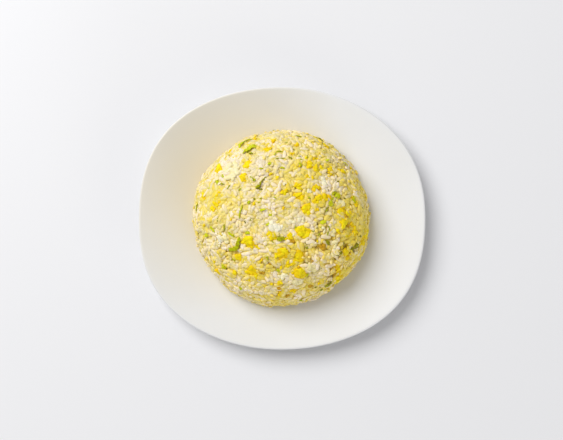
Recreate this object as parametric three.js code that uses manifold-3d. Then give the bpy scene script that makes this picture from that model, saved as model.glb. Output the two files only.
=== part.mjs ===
// A plate of egg-fried rice: rice turned out of a bowl as a dome, on a soft-cornered oval coupe plate.
//
// Millimetres, +Z up. The origin is under the middle of the plate's outline, level with the flat face
// of its foot ring. +X runs along the plate's long side.
//
// Two solids: the plate, and the rice dome with its egg curds and scallion bits fused on.

import * as THREE from 'three';
import { ConvexHull } from 'three/addons/math/ConvexHull.js';
import { mergeVertices } from 'three/addons/utils/BufferGeometryUtils.js';
import Module from 'manifold-3d';

// ---- plate: outline ------------------------------------------------------------------------------
const PLATE_HALF_LENGTH = 122.4;
const PLATE_HALF_WIDTH = 111.35;
// How square each corner is, as a superellipse exponent (2 is a plain ellipse), anticlockwise from +X.
const CORNER_SQUARENESS = [2.105, 2.283, 2.234, 2.26];
// Six very soft corners run round the rim.
const RIM_CORNERS = 6;
const RIM_CORNER_DEPTH = 0.42;
const RIM_CORNER_TURN = THREE.MathUtils.degToRad(27.2);

// ---- plate: section ------------------------------------------------------------------------------
// Radii of the section are given on a plate of this mean radius, then stretched to the outline.
const MEAN_RADIUS = 117;
const FLOOR_HEIGHT = 5.4;
const WALL_RISE = 15;
const WALL_CURVE = 2.2;
const FLOOR_THICKNESS = 4;
const LIP_THICKNESS = 3;
const FOOT_RADIUS = 54;
const FOOT_WIDTH = 4;
const FOOT_FLARE = 1.6;
const RECESS_DEPTH = FLOOR_HEIGHT - FLOOR_THICKNESS;
const INNER_RINGS = [0, 26, 48, 66, 80, 92, 102, 110];
const UNDERSIDE_RINGS = [63, 76, 89, 101, 110];
const LIP_STEPS = 4;
const PLATE_COLUMNS = 80;

// ---- rice dome -----------------------------------------------------------------------------------
const RESTING_GAP = 0.3;
const DOME_CENTRE = new THREE.Vector2(-0.8, 0.2);
const DOME_RADIUS = 75;
const DOME_TOP = 68;
// The section's superellipse exponent: a little fuller in the shoulder than half an ellipse.
const DOME_FULLNESS = 2.3;
const DOME_LOBES = 4;
const DOME_LOBE_DEPTH = 0.75;
const DOME_LOBE_TURN = THREE.MathUtils.degToRad(73);
const EDGE_POINTS = 96;
const BASE_RINGS = [[104, 48], [125, 30], [150, 14], [180, 1]];

// ---- grains on the dome --------------------------------------------------------------------------
const GRAIN_COUNT = 740;
const GRAIN_RIDGE = 3.5;
const GRAIN_SPREAD = 1.2;
const RIDGE_LIFT = [-0.2, 0.9];
const VALLEY_LIFT = [-1.5, -0.9];
const VALLEY_TRIES = 16000;
const VALLEY_TO_RIDGE = 1.8;
const VALLEY_TO_VALLEY = 2.9;

// ---- egg curds and scallion bits -----------------------------------------------------------------
// Egg curds: plan position from the plate's middle, length and width.
const CURDS = [
  [16, -10, 8, 6], [-25, -20, 8, 5.5], [13, -30, 8, 5.5], [33, 16, 9, 5], [45, -46, 8, 5.5],
  [70, -14, 9, 4.5], [0, -29, 6, 5.5], [50, 6, 6, 4.5], [27, 24, 6, 4], [-28, 45, 6.5, 5],
  [13, 27, 5.5, 4.5], [-32, 33, 6, 4.5], [5, -16, 6.5, 4.5], [-6, -14, 6, 4.5], [56, -6, 5.5, 4.5],
  [26, 15, 5, 4], [47, -39, 5, 4], [69, -3, 5, 4], [-53, 42, 6, 4.5], [-58, 8, 6, 4.5],
  [3, 21.5, 5.5, 4.5], [14, 19.5, 5, 4.5], [20, 7.5, 6.5, 5], [64, -9, 4.5, 3.5], [54, -15, 6, 3.5],
  [5, -39.5, 6, 4.5], [14, -38, 4.5, 4], [14, -45.5, 6, 5], [-24, -44.5, 6.5, 5], [-37, -33, 5, 4],
  [54.5, -30, 5, 4.5], [-2, -54.5, 5, 4], [20, 44.5, 5, 4.5], [-10.5, 59, 6, 3.5], [60, 16, 5, 3.5],
  [-66, 20, 5, 3.5], [23, -56.5, 5.5, 4],
];
const CURD_THICKNESS = 3.6;
const CURD_LIFT = 0.5;
const CURD_LUMPINESS = 0.16;
// Scallion bits: plan position, length along the bend, bend radius, turn of the bit in degrees.
const SCALLION_BITS = [
  [-33, 60, 8, 3.2, 25], [-35, 7, 9, 14, 95], [-38, -23, 9, 10, 50], [-17, 29, 6.5, 4, 75],
  [44, 20, 6, 6, 20], [40, 12, 5, 5, 75], [31, 64, 6.5, 8, 150], [15, 68, 6, 8, 165],
  [4, 50, 8, 14, 8], [38, -56, 5.5, 8, 35], [62, -23, 5, 5, 120], [-2, -15, 5, 6, 60],
];
const SCALLION_RADIUS = 0.95;
const SCALLION_LIFT = 0.75;

const SEED = 20117;

// ---- small helpers -------------------------------------------------------------------------------

/** A seeded source of numbers in [0, 1). */
function makeRandom(seed) {
  let state = seed >>> 0;
  return () => {
    state = (state + 0x6d2b79f5) >>> 0;
    let mixed = Math.imul(state ^ (state >>> 15), state | 1);
    mixed ^= mixed + Math.imul(mixed ^ (mixed >>> 7), mixed | 61);
    return ((mixed ^ (mixed >>> 14)) >>> 0) / 4294967296;
  };
}

const random = makeRandom(SEED);

function randomIn([low, high]) {
  return low + (high - low) * random();
}

/** Unit directions spread evenly over the upper half of a sphere, on a golden-angle spiral. */
function evenDirections(count, turn = 0) {
  const goldenAngle = Math.PI * (3 - Math.sqrt(5));
  const directions = [];
  for (let i = 0; i < count; i += 1) {
    const height = 1 - (i + 0.5) / count;
    const level = Math.sqrt(1 - height * height);
    const angle = i * goldenAngle + turn;
    directions.push(new THREE.Vector3(level * Math.cos(angle), level * Math.sin(angle), height));
  }
  return directions;
}

// ---- plate ---------------------------------------------------------------------------------------

/** Distance from the outline's own centre to the rim, at a bearing from +X. */
function rimRadius(bearing) {
  const cos = Math.cos(bearing);
  const sin = Math.sin(bearing);
  const quadrant = (sin >= 0 ? 0 : 2) + ((cos >= 0) === (sin >= 0) ? 0 : 1);
  const power = CORNER_SQUARENESS[quadrant];
  const along = Math.abs(cos / PLATE_HALF_LENGTH) ** power;
  const across = Math.abs(sin / PLATE_HALF_WIDTH) ** power;
  const corners = RIM_CORNER_DEPTH * Math.cos(RIM_CORNERS * (bearing - RIM_CORNER_TURN));
  return (along + across) ** (-1 / power) + corners;
}

/** Where the outline's own centre lies once its bounding box is centred on the origin. */
function outlineCentre() {
  const box = new THREE.Box2();
  for (let i = 0; i < PLATE_COLUMNS; i += 1) {
    const bearing = (i / PLATE_COLUMNS) * 2 * Math.PI;
    const radius = rimRadius(bearing);
    box.expandByPoint(new THREE.Vector2(radius * Math.cos(bearing), radius * Math.sin(bearing)));
  }
  return box.getCenter(new THREE.Vector2()).negate();
}

const PLATE_CENTRE = outlineCentre();

/** Height of the eating surface on the mean section: a shallow bowl with no break at the rim. */
function innerHeight(radius) {
  return FLOOR_HEIGHT + WALL_RISE * (radius / MEAN_RADIUS) ** WALL_CURVE;
}

/** Height of the underside, the wall thinning from the floor to the lip. */
function undersideHeight(radius) {
  const thickness = THREE.MathUtils.lerp(FLOOR_THICKNESS, LIP_THICKNESS, radius / MEAN_RADIUS);
  return innerHeight(radius) - thickness;
}

/** The rounded lip, from the underside over the outermost point to the eating surface. */
function lipPoints() {
  const slope = Math.atan((WALL_RISE * WALL_CURVE) / MEAN_RADIUS);
  const round = LIP_THICKNESS / 2;
  const centreRadius = MEAN_RADIUS - round;
  const topRadius = centreRadius - round * Math.sin(slope);
  const centreHeight = innerHeight(topRadius) - round * Math.cos(slope);
  const points = [];
  for (let i = 0; i <= LIP_STEPS; i += 1) {
    const angle = slope - Math.PI / 2 + (i / LIP_STEPS) * Math.PI;
    const radius = centreRadius + round * Math.cos(angle);
    points.push(new THREE.Vector2(radius, centreHeight + round * Math.sin(angle)));
  }
  return points;
}

/** The closed half-section of the plate, from the axis underneath round to the axis on top. */
function plateSection() {
  const footOutside = FOOT_RADIUS + FOOT_WIDTH;
  const foot = [
    new THREE.Vector2(0, RECESS_DEPTH),
    new THREE.Vector2(FOOT_RADIUS - FOOT_FLARE, RECESS_DEPTH),
    new THREE.Vector2(FOOT_RADIUS, 0),
    new THREE.Vector2(footOutside, 0),
    new THREE.Vector2(footOutside + FOOT_FLARE / 2, undersideHeight(footOutside) - FOOT_FLARE),
  ];
  const underside = UNDERSIDE_RINGS.map((radius) => new THREE.Vector2(radius, undersideHeight(radius)));
  const inside = INNER_RINGS.map((radius) => new THREE.Vector2(radius, innerHeight(radius)));
  return [...foot, ...underside, ...lipPoints(), ...inside.reverse()];
}

function plateGeometry() {
  const geometry = new THREE.LatheGeometry(plateSection(), PLATE_COLUMNS);
  geometry.rotateX(Math.PI / 2);
  const positions = geometry.attributes.position;
  for (let i = 0; i < positions.count; i += 1) {
    const x = positions.getX(i);
    const y = positions.getY(i);
    const stretch = rimRadius(Math.atan2(y, x)) / MEAN_RADIUS;
    positions.setX(i, x * stretch + PLATE_CENTRE.x);
    positions.setY(i, y * stretch + PLATE_CENTRE.y);
  }
  geometry.computeVertexNormals();
  return geometry;
}

/** Height of the plate's faceted eating surface under a point, straight between the section's rings. */
function plateTopAt(x, y) {
  const fromX = x - PLATE_CENTRE.x;
  const fromY = y - PLATE_CENTRE.y;
  const radius = (Math.hypot(fromX, fromY) * MEAN_RADIUS) / rimRadius(Math.atan2(fromY, fromX));
  const outer = INNER_RINGS.findIndex((ring) => ring >= radius);
  if (outer <= 0) {
    return innerHeight(INNER_RINGS[0]);
  }
  const [low, high] = [INNER_RINGS[outer - 1], INNER_RINGS[outer]];
  return THREE.MathUtils.mapLinear(radius, low, high, innerHeight(low), innerHeight(high));
}

// ---- rice dome: its smooth form ------------------------------------------------------------------

/** Arc lengths along the dome's section, from the top down to its edge on the plate. */
function sectionTable(steps = 240) {
  const height = DOME_TOP - plateTopAt(DOME_RADIUS, 0);
  const table = [];
  let length = 0;
  for (let i = 0; i <= steps; i += 1) {
    const turn = (i / steps) * (Math.PI / 2);
    const out = Math.sin(turn) ** (2 / DOME_FULLNESS);
    const up = Math.max(Math.cos(turn), 0) ** (2 / DOME_FULLNESS);
    if (i > 0) {
      const last = table[i - 1];
      length += Math.hypot((out - last.out) * DOME_RADIUS, (up - last.up) * height);
    }
    table.push({ length, out, up });
  }
  return table;
}

const SECTION = sectionTable();
const SECTION_LENGTH = SECTION.at(-1).length;

/** The section's reach and rise, each from 0 to 1, at a value of one of the table's columns. */
function sectionAt(column, value) {
  const next = Math.max(1, SECTION.findIndex((row) => row[column] >= value));
  const [low, high] = [SECTION[next - 1], SECTION[next]];
  const mix = THREE.MathUtils.clamp((value - low[column]) / (high[column] - low[column]), 0, 1);
  return {
    out: THREE.MathUtils.lerp(low.out, high.out, mix),
    up: THREE.MathUtils.lerp(low.up, high.up, mix),
  };
}

/** How far the dome reaches at a bearing: round, with four faint lobes. */
function domeReach(bearing) {
  return DOME_RADIUS + DOME_LOBE_DEPTH * Math.cos(DOME_LOBES * (bearing - DOME_LOBE_TURN));
}

/** The outward direction of the smooth dome. */
function domeNormal(bearing, section, rise) {
  const power = DOME_FULLNESS - 1;
  const outward = section.out ** power / DOME_RADIUS;
  const upward = section.up ** power / rise;
  return new THREE.Vector3(outward * Math.cos(bearing), outward * Math.sin(bearing), upward).normalize();
}

/** A point of the dome, and its outward direction, lifted off the smooth form. */
function domePoint(bearing, section, lift) {
  const reach = domeReach(bearing);
  const footX = DOME_CENTRE.x + reach * Math.cos(bearing);
  const footY = DOME_CENTRE.y + reach * Math.sin(bearing);
  const foot = plateTopAt(footX, footY) + RESTING_GAP;
  const normal = domeNormal(bearing, section, DOME_TOP - foot);
  const position = new THREE.Vector3(
    DOME_CENTRE.x + reach * section.out * Math.cos(bearing),
    DOME_CENTRE.y + reach * section.out * Math.sin(bearing),
    THREE.MathUtils.lerp(foot, DOME_TOP, section.up),
  );
  position.addScaledVector(normal, lift);
  return { position, normal };
}

/** The dome under a unit direction: its angle from straight up is the arc length down the section. */
function domeUnder(direction, lift) {
  const fromTop = Math.acos(THREE.MathUtils.clamp(direction.z, 0, 1)) / (Math.PI / 2);
  const bearing = Math.atan2(direction.y, direction.x);
  return domePoint(bearing, sectionAt('length', fromTop * SECTION_LENGTH), lift).position;
}

/** The dome above a plan position. */
function domeAbove(x, y, lift) {
  const fromX = x - DOME_CENTRE.x;
  const fromY = y - DOME_CENTRE.y;
  const bearing = Math.atan2(fromY, fromX);
  const out = Math.min(Math.hypot(fromX, fromY) / domeReach(bearing), 0.995);
  return domePoint(bearing, sectionAt('out', out), lift);
}

// ---- rice dome: bumps of the grains' size --------------------------------------------------------

/** The two ends of a grain's ridge: a short line in a random direction across the surface. */
function ridgeDirections(centre) {
  const sideways = new THREE.Vector3(random() - 0.5, random() - 0.5, random() - 0.5);
  const along = sideways.projectOnPlane(centre).normalize();
  const millimetresPerRadian = SECTION_LENGTH / (Math.PI / 2);
  const half = GRAIN_RIDGE / 2 / millimetresPerRadian;
  return [half, -half].map((offset) => centre.clone().addScaledVector(along, offset).normalize());
}

/** A vertex keeps its direction for the triangulation and its place on the dome. */
function domeVertex(direction, lift) {
  return { direction, position: domeUnder(direction, lift) };
}

function ridgeVertices() {
  const vertices = [];
  const lowestRidge = Math.sin(THREE.MathUtils.degToRad(1.2));
  for (const direction of evenDirections(GRAIN_COUNT)) {
    const shift = new THREE.Vector3(random() - 0.5, random() - 0.5, random() - 0.5);
    const centre = direction.addScaledVector(shift, GRAIN_SPREAD * 2 / DOME_RADIUS).normalize();
    const lift = randomIn(RIDGE_LIFT);
    const tilt = (random() - 0.5) * 0.9;
    ridgeDirections(centre).forEach((end, side) => {
      if (end.z > lowestRidge) {
        vertices.push(domeVertex(end, lift + (side === 0 ? tilt : -tilt) / 2));
      }
    });
  }
  return vertices;
}

function isClear(position, others, distance) {
  return others.every((other) => other.position.distanceToSquared(position) >= distance * distance);
}

/** Low points between the grains, clear of the ridges and of each other. */
function valleyVertices(ridges) {
  const valleys = [];
  const lowestValley = Math.sin(THREE.MathUtils.degToRad(1.6));
  for (const direction of evenDirections(VALLEY_TRIES, 1)) {
    const position = domeUnder(direction, 0);
    const isOpen = isClear(position, ridges, VALLEY_TO_RIDGE) && direction.z > lowestValley;
    if (isOpen && isClear(position, valleys, VALLEY_TO_VALLEY)) {
      valleys.push(domeVertex(direction, randomIn(VALLEY_LIFT)));
    }
  }
  return valleys;
}

/** One ring of vertices on the dome's underside, which follows the plate. */
function undersideRing(degreesFromTop, count) {
  const vertices = [];
  const fromTop = THREE.MathUtils.degToRad(degreesFromTop);
  const share = (180 - degreesFromTop) / 90;
  for (let i = 0; i < count; i += 1) {
    const bearing = ((i + 0.5) / count) * 2 * Math.PI;
    const radius = (domeReach(bearing) - 1.2) * Math.min(share, 1);
    const x = DOME_CENTRE.x + radius * Math.cos(bearing);
    const y = DOME_CENTRE.y + radius * Math.sin(bearing);
    vertices.push({
      direction: new THREE.Vector3().setFromSphericalCoords(1, fromTop, bearing),
      position: new THREE.Vector3(x, y, plateTopAt(x, y) + RESTING_GAP),
    });
  }
  for (const { direction } of vertices) {
    direction.set(direction.z, direction.x, direction.y);
  }
  return vertices;
}

/** Triangles between vertices: the hull of their directions on a sphere, laid over their places. */
function closedSurface(vertices) {
  const indexOf = new Map(vertices.map(({ direction }, index) => [direction, index]));
  const hull = new ConvexHull().setFromPoints(vertices.map(({ direction }) => direction));
  const indices = [];
  for (const face of hull.faces) {
    let edge = face.edge;
    do {
      indices.push(indexOf.get(edge.head().point));
      edge = edge.next;
    } while (edge !== face.edge);
  }
  const positions = vertices.flatMap(({ position }) => position.toArray());
  const geometry = new THREE.BufferGeometry();
  geometry.setAttribute('position', new THREE.Float32BufferAttribute(positions, 3));
  geometry.setIndex(indices);
  return geometry;
}

function riceGeometry() {
  const ridges = ridgeVertices();
  const valleys = valleyVertices(ridges);
  const edge = undersideRing(91, EDGE_POINTS);
  const base = BASE_RINGS.flatMap(([degrees, count]) => undersideRing(degrees, count));
  return closedSurface([...ridges, ...valleys, ...edge, ...base]);
}

// ---- egg curds and scallion bits -----------------------------------------------------------------

/** Places a piece made lying in the XY plane onto the dome, turned about the outward direction. */
function layOnDome(geometry, x, y, turn, lift) {
  const { position, normal } = domeAbove(x, y, lift);
  const tilt = new THREE.Quaternion().setFromUnitVectors(new THREE.Vector3(0, 0, 1), normal);
  geometry.rotateZ(turn);
  geometry.applyQuaternion(tilt);
  geometry.translate(position.x, position.y, position.z);
  return geometry;
}

/** An egg curd: a lumpy flattened nugget with twenty faces. */
function curdGeometry(x, y, length, width) {
  const geometry = asMerged(new THREE.IcosahedronGeometry(1, 0));
  const positions = geometry.attributes.position;
  for (let i = 0; i < positions.count; i += 1) {
    const lump = 1 + (random() * 2 - 1) * CURD_LUMPINESS;
    positions.setXYZ(i, positions.getX(i) * lump, positions.getY(i) * lump, positions.getZ(i) * lump);
  }
  geometry.scale(length / 2, width / 2, CURD_THICKNESS / 2);
  return layOnDome(geometry, x, y, random() * Math.PI, CURD_LIFT);
}

/** A scallion bit: a thin rod bent round part of a ring. */
function scallionGeometry(x, y, length, bendRadius, turn) {
  const straight = length - 2 * SCALLION_RADIUS;
  const geometry = asMerged(new THREE.CapsuleGeometry(SCALLION_RADIUS, straight, 1, 5, 3));
  const positions = geometry.attributes.position;
  for (let i = 0; i < positions.count; i += 1) {
    const angle = positions.getY(i) / bendRadius;
    const radius = bendRadius + positions.getX(i);
    positions.setX(i, radius * Math.cos(angle) - bendRadius);
    positions.setY(i, radius * Math.sin(angle));
  }
  return layOnDome(geometry, x, y, THREE.MathUtils.degToRad(turn), SCALLION_LIFT);
}

function toppingGeometries() {
  const curds = CURDS.map((curd) => curdGeometry(...curd));
  const scallion = SCALLION_BITS.map((bit) => scallionGeometry(...bit));
  return [...curds, ...scallion];
}

// ---- joining -------------------------------------------------------------------------------------

const manifold = await Module();
manifold.setup();

/** A copy of a geometry that keeps only its positions, with shared vertices merged. */
function asMerged(geometry) {
  const copy = geometry.clone();
  copy.deleteAttribute('normal');
  copy.deleteAttribute('uv');
  return mergeVertices(copy, 1e-4);
}

function toSolid(geometry) {
  const mesh = new manifold.Mesh({
    numProp: 3,
    vertProperties: new Float32Array(geometry.attributes.position.array),
    triVerts: new Uint32Array(geometry.index.array),
  });
  return new manifold.Manifold(mesh);
}

function toGeometry(solid) {
  const mesh = solid.getMesh();
  const geometry = new THREE.BufferGeometry();
  geometry.setAttribute('position', new THREE.Float32BufferAttribute(mesh.vertProperties, 3));
  geometry.setIndex(new THREE.Uint32BufferAttribute(mesh.triVerts, 1));
  geometry.computeVertexNormals();
  return geometry;
}

/** Fuses the toppings to the rice and keeps the one outer skin, with no scraps or sealed hollows. */
function heapGeometry() {
  let solid = toSolid(riceGeometry());
  for (const geometry of toppingGeometries()) {
    solid = solid.add(toSolid(geometry));
  }
  const bodies = solid.decompose();
  const largest = bodies.reduce((best, body) => (body.volume() > best.volume() ? body : best));
  return toGeometry(largest);
}

// ---- assembly ------------------------------------------------------------------------------------

function makePlate() {
  const porcelain = new THREE.MeshStandardMaterial({ color: '#eceae4', roughness: 0.16, metalness: 0 });
  const plate = new THREE.Mesh(plateGeometry(), porcelain);
  plate.name = 'plate';
  return plate;
}

function makeRiceHeap() {
  const friedRice = new THREE.MeshStandardMaterial({ color: '#eaddae', roughness: 0.55, metalness: 0 });
  const heap = new THREE.Mesh(heapGeometry(), friedRice);
  heap.name = 'rice_heap';
  return heap;
}

const group = new THREE.Group();
group.add(makePlate(), makeRiceHeap());

export default group;
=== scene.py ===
# %% [markdown]
# # Egg-fried rice on a coupe plate
# Rice fried with egg and scallion is pressed into a bowl and turned out as a dome onto a white,
# soft-cornered oval plate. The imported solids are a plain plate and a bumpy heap; their driving sizes
# come back here, in the same frame. This script makes what is seen: a glazed plate, and some
# thousands of grains laid over a core, with egg curds, egg whites and bits of scallion.

# %% Load the frame
import math

import bpy
import numpy as np
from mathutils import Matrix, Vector


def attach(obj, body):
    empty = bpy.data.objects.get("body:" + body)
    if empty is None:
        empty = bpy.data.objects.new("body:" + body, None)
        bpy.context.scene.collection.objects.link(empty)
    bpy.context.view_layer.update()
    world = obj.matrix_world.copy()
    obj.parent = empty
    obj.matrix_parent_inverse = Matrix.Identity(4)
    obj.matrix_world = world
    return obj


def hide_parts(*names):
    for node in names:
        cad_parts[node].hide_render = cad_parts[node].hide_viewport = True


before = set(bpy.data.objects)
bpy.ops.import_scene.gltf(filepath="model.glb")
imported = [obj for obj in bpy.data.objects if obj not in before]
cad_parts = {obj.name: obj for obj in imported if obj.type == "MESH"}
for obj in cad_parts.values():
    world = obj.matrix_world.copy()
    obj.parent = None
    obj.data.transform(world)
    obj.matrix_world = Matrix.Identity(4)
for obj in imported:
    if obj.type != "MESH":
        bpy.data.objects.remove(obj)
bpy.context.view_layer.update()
MM = 0.001
SEED = 20117
rng = np.random.default_rng(SEED)

# %% [markdown]
# ## Meshes from arrays
# The dish is many small things. Blender could scatter one grain as particles or instances, but then
# all grains would be alike, and an exported model loses both. So shapes are worked out as numpy
# arrays in millimetres and joined into one mesh for each kind. Each small thing has the same
# layout: a tip, rings of points, and another tip. A grain, an egg curd and a scallion bit differ
# only in where those points lie.


# %% Joined meshes
MAP_MARGIN = 0.06  # left free round each shape, as a share of its square on the flat map


def ringed_faces(rings, columns):
    """Faces, and each corner's place on a flat map, of one shape: tip, rings, tip."""
    last = 1 + rings * columns
    faces, corners = [], []
    for row in range(rings + 1):
        low, high = row / (rings + 1), (row + 1) / (rings + 1)
        for c in range(columns):
            n = (c + 1) % columns
            a, b = 1 + (row - 1) * columns, 1 + row * columns
            left, right = c / columns, (c + 1) / columns
            if row == 0:
                faces.append((0, b + n, b + c))
                corners += [((left + right) / 2, low), (right, high), (left, high)]
            elif row == rings:
                faces.append((a + c, a + n, last))
                corners += [(left, low), (right, low), ((left + right) / 2, high)]
            else:
                faces.append((a + c, a + n, b + n, b + c))
                corners += [(left, low), (right, low), (right, high), (left, high)]
    return faces, np.array(corners)


def joined(name, shapes, rings, columns, values):
    """One smooth mesh of all shapes (count, points, 3) in mm, with values for each shape or point."""
    count, points, _ = shapes.shape
    faces, corners = ringed_faces(rings, columns)
    mesh = bpy.data.meshes.new(name)
    all_faces = [tuple(i + points * shape for i in face) for shape in range(count) for face in faces]
    mesh.from_pydata((shapes.reshape(-1, 3) * MM).tolist(), [], all_faces)
    mesh.shade_smooth()
    cells = math.ceil(math.sqrt(count))
    places = np.stack([np.arange(count) % cells, np.arange(count) // cells], 1)
    flat = (places[:, None] + MAP_MARGIN + (1 - 2 * MAP_MARGIN) * corners[None]) / cells
    mesh.uv_layers.new(name="OFBake").data.foreach_set("uv", flat.astype(np.float32).ravel())
    for key, value in values.items():
        attribute = mesh.attributes.new(key, "FLOAT", "POINT")
        spread = np.broadcast_to(np.reshape(value, (count, -1)), (count, points))
        attribute.data.foreach_set("value", spread.ravel().astype(np.float32))
    piece = bpy.data.objects.new(name, mesh)
    bpy.context.scene.collection.objects.link(piece)
    triangles = sum(len(face) - 2 for face in faces) * count
    print(f"{name}: {count} shapes, {triangles} triangles")
    return piece


def unit(vectors):
    """The same directions with length 1."""
    return vectors / np.linalg.norm(vectors, axis=-1, keepdims=True)


WAVE_COUNT, WAVE_REACH = 7, 3
WAVE_SPREAD = (0.7, 1.4)  # how much each wave's own frequency may differ


def waves(points, frequency, draw):
    """A smooth random field over points (..., 3), about -1 to 1: a sum of seeded plane waves."""
    field = np.zeros(points.shape[:-1])
    for _ in range(WAVE_COUNT):
        direction = unit(draw.normal(size=3)) * frequency * draw.uniform(*WAVE_SPREAD)
        field += np.sin(points @ direction + draw.uniform(0, 2 * math.pi))
    return field / WAVE_REACH


example_faces, _ = ringed_faces(6, 8)
print("a shape of 6 rings and 8 columns has", sum(len(face) - 2 for face in example_faces), "triangles")

# %% [markdown]
# ## The plate's form
# The rim is a rounded rectangle close to an ellipse: a superellipse whose exponent changes by
# quadrant, with a six-fold ripple of 0.4 mm, as on hand-shaped ware. The section is a shallow bowl
# with no break at the rim, a rounded lip and a low foot. A turned profile could be squashed into
# this outline with modifiers, but a formula puts the soft corners where the solid has them.

# %% Outline and section of the plate
HALF_LENGTH, HALF_WIDTH = 122.4, 111.35
SQUARENESS = np.array([2.105, 2.283, 2.234, 2.26])
RIM_CORNERS, CORNER_DEPTH, CORNER_BEARING = 6, 0.42, 27.2
SOLID_COLUMNS = 80
MEAN_RADIUS = 117
FLOOR_HEIGHT, WALL_RISE, WALL_CURVE = 5.4, 15, 2.2
FLOOR_THICKNESS, LIP_THICKNESS = 4, 3
FOOT_RADIUS, FOOT_WIDTH, FOOT_FLARE = 54, 4, 1.6


def rim_radius(bearing):
    """From the outline's centre to the rim, in mm."""
    quadrant = (np.floor(bearing / (math.pi / 2)) % 4).astype(int)
    power = SQUARENESS[quadrant]
    along = np.abs(np.cos(bearing) / HALF_LENGTH) ** power
    across = np.abs(np.sin(bearing) / HALF_WIDTH) ** power
    ripple = CORNER_DEPTH * np.cos(RIM_CORNERS * (bearing - math.radians(CORNER_BEARING)))
    return (along + across) ** (-1 / power) + ripple


def outline_centre():
    """Where the outline's centre lies in the frame, whose origin is the middle of the solid's box."""
    bearing = np.linspace(0, 2 * math.pi, SOLID_COLUMNS, endpoint=False)
    rim = rim_radius(bearing)[:, None] * np.stack([np.cos(bearing), np.sin(bearing)], 1)
    return -(rim.min(0) + rim.max(0)) / 2


plate_centre = outline_centre()


def inner_height(radius):
    """Height of the eating surface at a radius of the mean section."""
    return FLOOR_HEIGHT + WALL_RISE * (radius / MEAN_RADIUS) ** WALL_CURVE


def underside_height(radius):
    """Height of the underside, which the wall's falling thickness gives."""
    wall = FLOOR_THICKNESS + (LIP_THICKNESS - FLOOR_THICKNESS) * radius / MEAN_RADIUS
    return inner_height(radius) - wall


def plate_top(x, y):
    """Height of the eating surface over plan positions in mm."""
    x, y = x - plate_centre[0], y - plate_centre[1]
    bearing = np.arctan2(y, x)
    return inner_height(np.hypot(x, y) * MEAN_RADIUS / rim_radius(bearing))


RECESS_POINTS, WALL_POINTS, LIP_POINTS, INSIDE_POINTS = 8, 14, 13, 40


def plate_section():
    """Radius and height of the section, from the axis underneath round to the axis on top."""
    outside = FOOT_RADIUS + FOOT_WIDTH
    recess = FLOOR_HEIGHT - FLOOR_THICKNESS
    # Both edges of the foot are eased by tenths of a millimetre, and its outer side flares.
    foot = [(r, recess) for r in np.linspace(6, FOOT_RADIUS - FOOT_FLARE - 1, RECESS_POINTS)]
    foot += [(FOOT_RADIUS - FOOT_FLARE, recess - 0.1), (FOOT_RADIUS - 0.4, 0.25), (FOOT_RADIUS + 0.3, 0)]
    foot += [(outside - 0.5, 0), (outside, 0.2), (outside + 0.3, 1)]
    foot += [(outside + FOOT_FLARE / 2, underside_height(outside) - 1.6)]
    foot += [(outside + 2.6, underside_height(outside + 2.6) - 0.2)]
    under = [(r, underside_height(r)) for r in np.linspace(outside + 5, MEAN_RADIUS - 4, WALL_POINTS)]
    slope = math.atan(WALL_RISE * WALL_CURVE / MEAN_RADIUS)
    half = LIP_THICKNESS / 2
    middle = MEAN_RADIUS - half
    level = inner_height(middle - half * math.sin(slope)) - half * math.cos(slope)
    turns = slope + np.linspace(-math.pi / 2, math.pi / 2, LIP_POINTS)
    lip = [(middle + half * math.cos(t), level + half * math.sin(t)) for t in turns]
    inside = [(r, inner_height(r)) for r in np.linspace(MEAN_RADIUS - 3.5, 3, INSIDE_POINTS)]
    return np.array(foot + under + lip + inside), recess


section, recess = plate_section()
rim_radii = rim_radius(np.linspace(0, 2 * math.pi, 90))
print(f"rim radii {rim_radii.min():.1f} to {rim_radii.max():.1f} mm; section points: {len(section)}")

# %% [markdown]
# The plate is one ringed shape too, so it needs no tool of its own: the tips are its two middles, the
# lower one first, and the columns go round it anticlockwise, so that its faces look outwards.

# %% The plate's mesh
PLATE_COLUMNS = 240
bearing = np.arange(PLATE_COLUMNS) / PLATE_COLUMNS * 2 * math.pi
stretch = rim_radius(bearing) / MEAN_RADIUS
ring_x = section[:, :1] * stretch * np.cos(bearing) + plate_centre[0]
ring_y = section[:, :1] * stretch * np.sin(bearing) + plate_centre[1]
ring_z = np.repeat(section[:, 1:], PLATE_COLUMNS, 1)
rings = np.stack([ring_x, ring_y, ring_z], -1).reshape(-1, 3)
tips = np.array([[*plate_centre, recess], [*plate_centre, FLOOR_HEIGHT]])
plate_points = np.concatenate([tips[:1], rings, tips[1:]])
plate = joined("plate_glazed", plate_points[None], len(section), PLATE_COLUMNS, {})
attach(plate, "root")
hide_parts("plate")

# %% [markdown]
# ## The dome's form
# A bowl gives the rice a smooth round dome, a little fuller in the shoulder than half an ellipsoid,
# with four faint lobes. The rice relaxes as the bowl comes off, which leaves soft hollows a few
# grains wide. Sculpting could give this form, but every grain, curd and leaf has to know where the
# skin is and which way it faces, and a formula can tell. Points of the dome are named by a bearing
# and a turn down from the top.

# %% Points of the dome
DOME_CENTRE = np.array([-0.8, 0.2])
DOME_RADIUS, DOME_TOP, FULLNESS = 75, 68, 2.3
DOME_EDGE_LEVEL = 13
LOBES, LOBE_DEPTH, LOBE_BEARING = 4, 0.75, 73
HOLLOW_SEED = 7
HOLLOWS = [(0.3, 0.25)] * 5 + [(0.15, 0.7)] * 6  # depth in mm, waves in radians per mm


def dome_reach(bearing):
    """How far the dome's edge lies from its axis."""
    return DOME_RADIUS + LOBE_DEPTH * np.cos(LOBES * (bearing - math.radians(LOBE_BEARING)))


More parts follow.
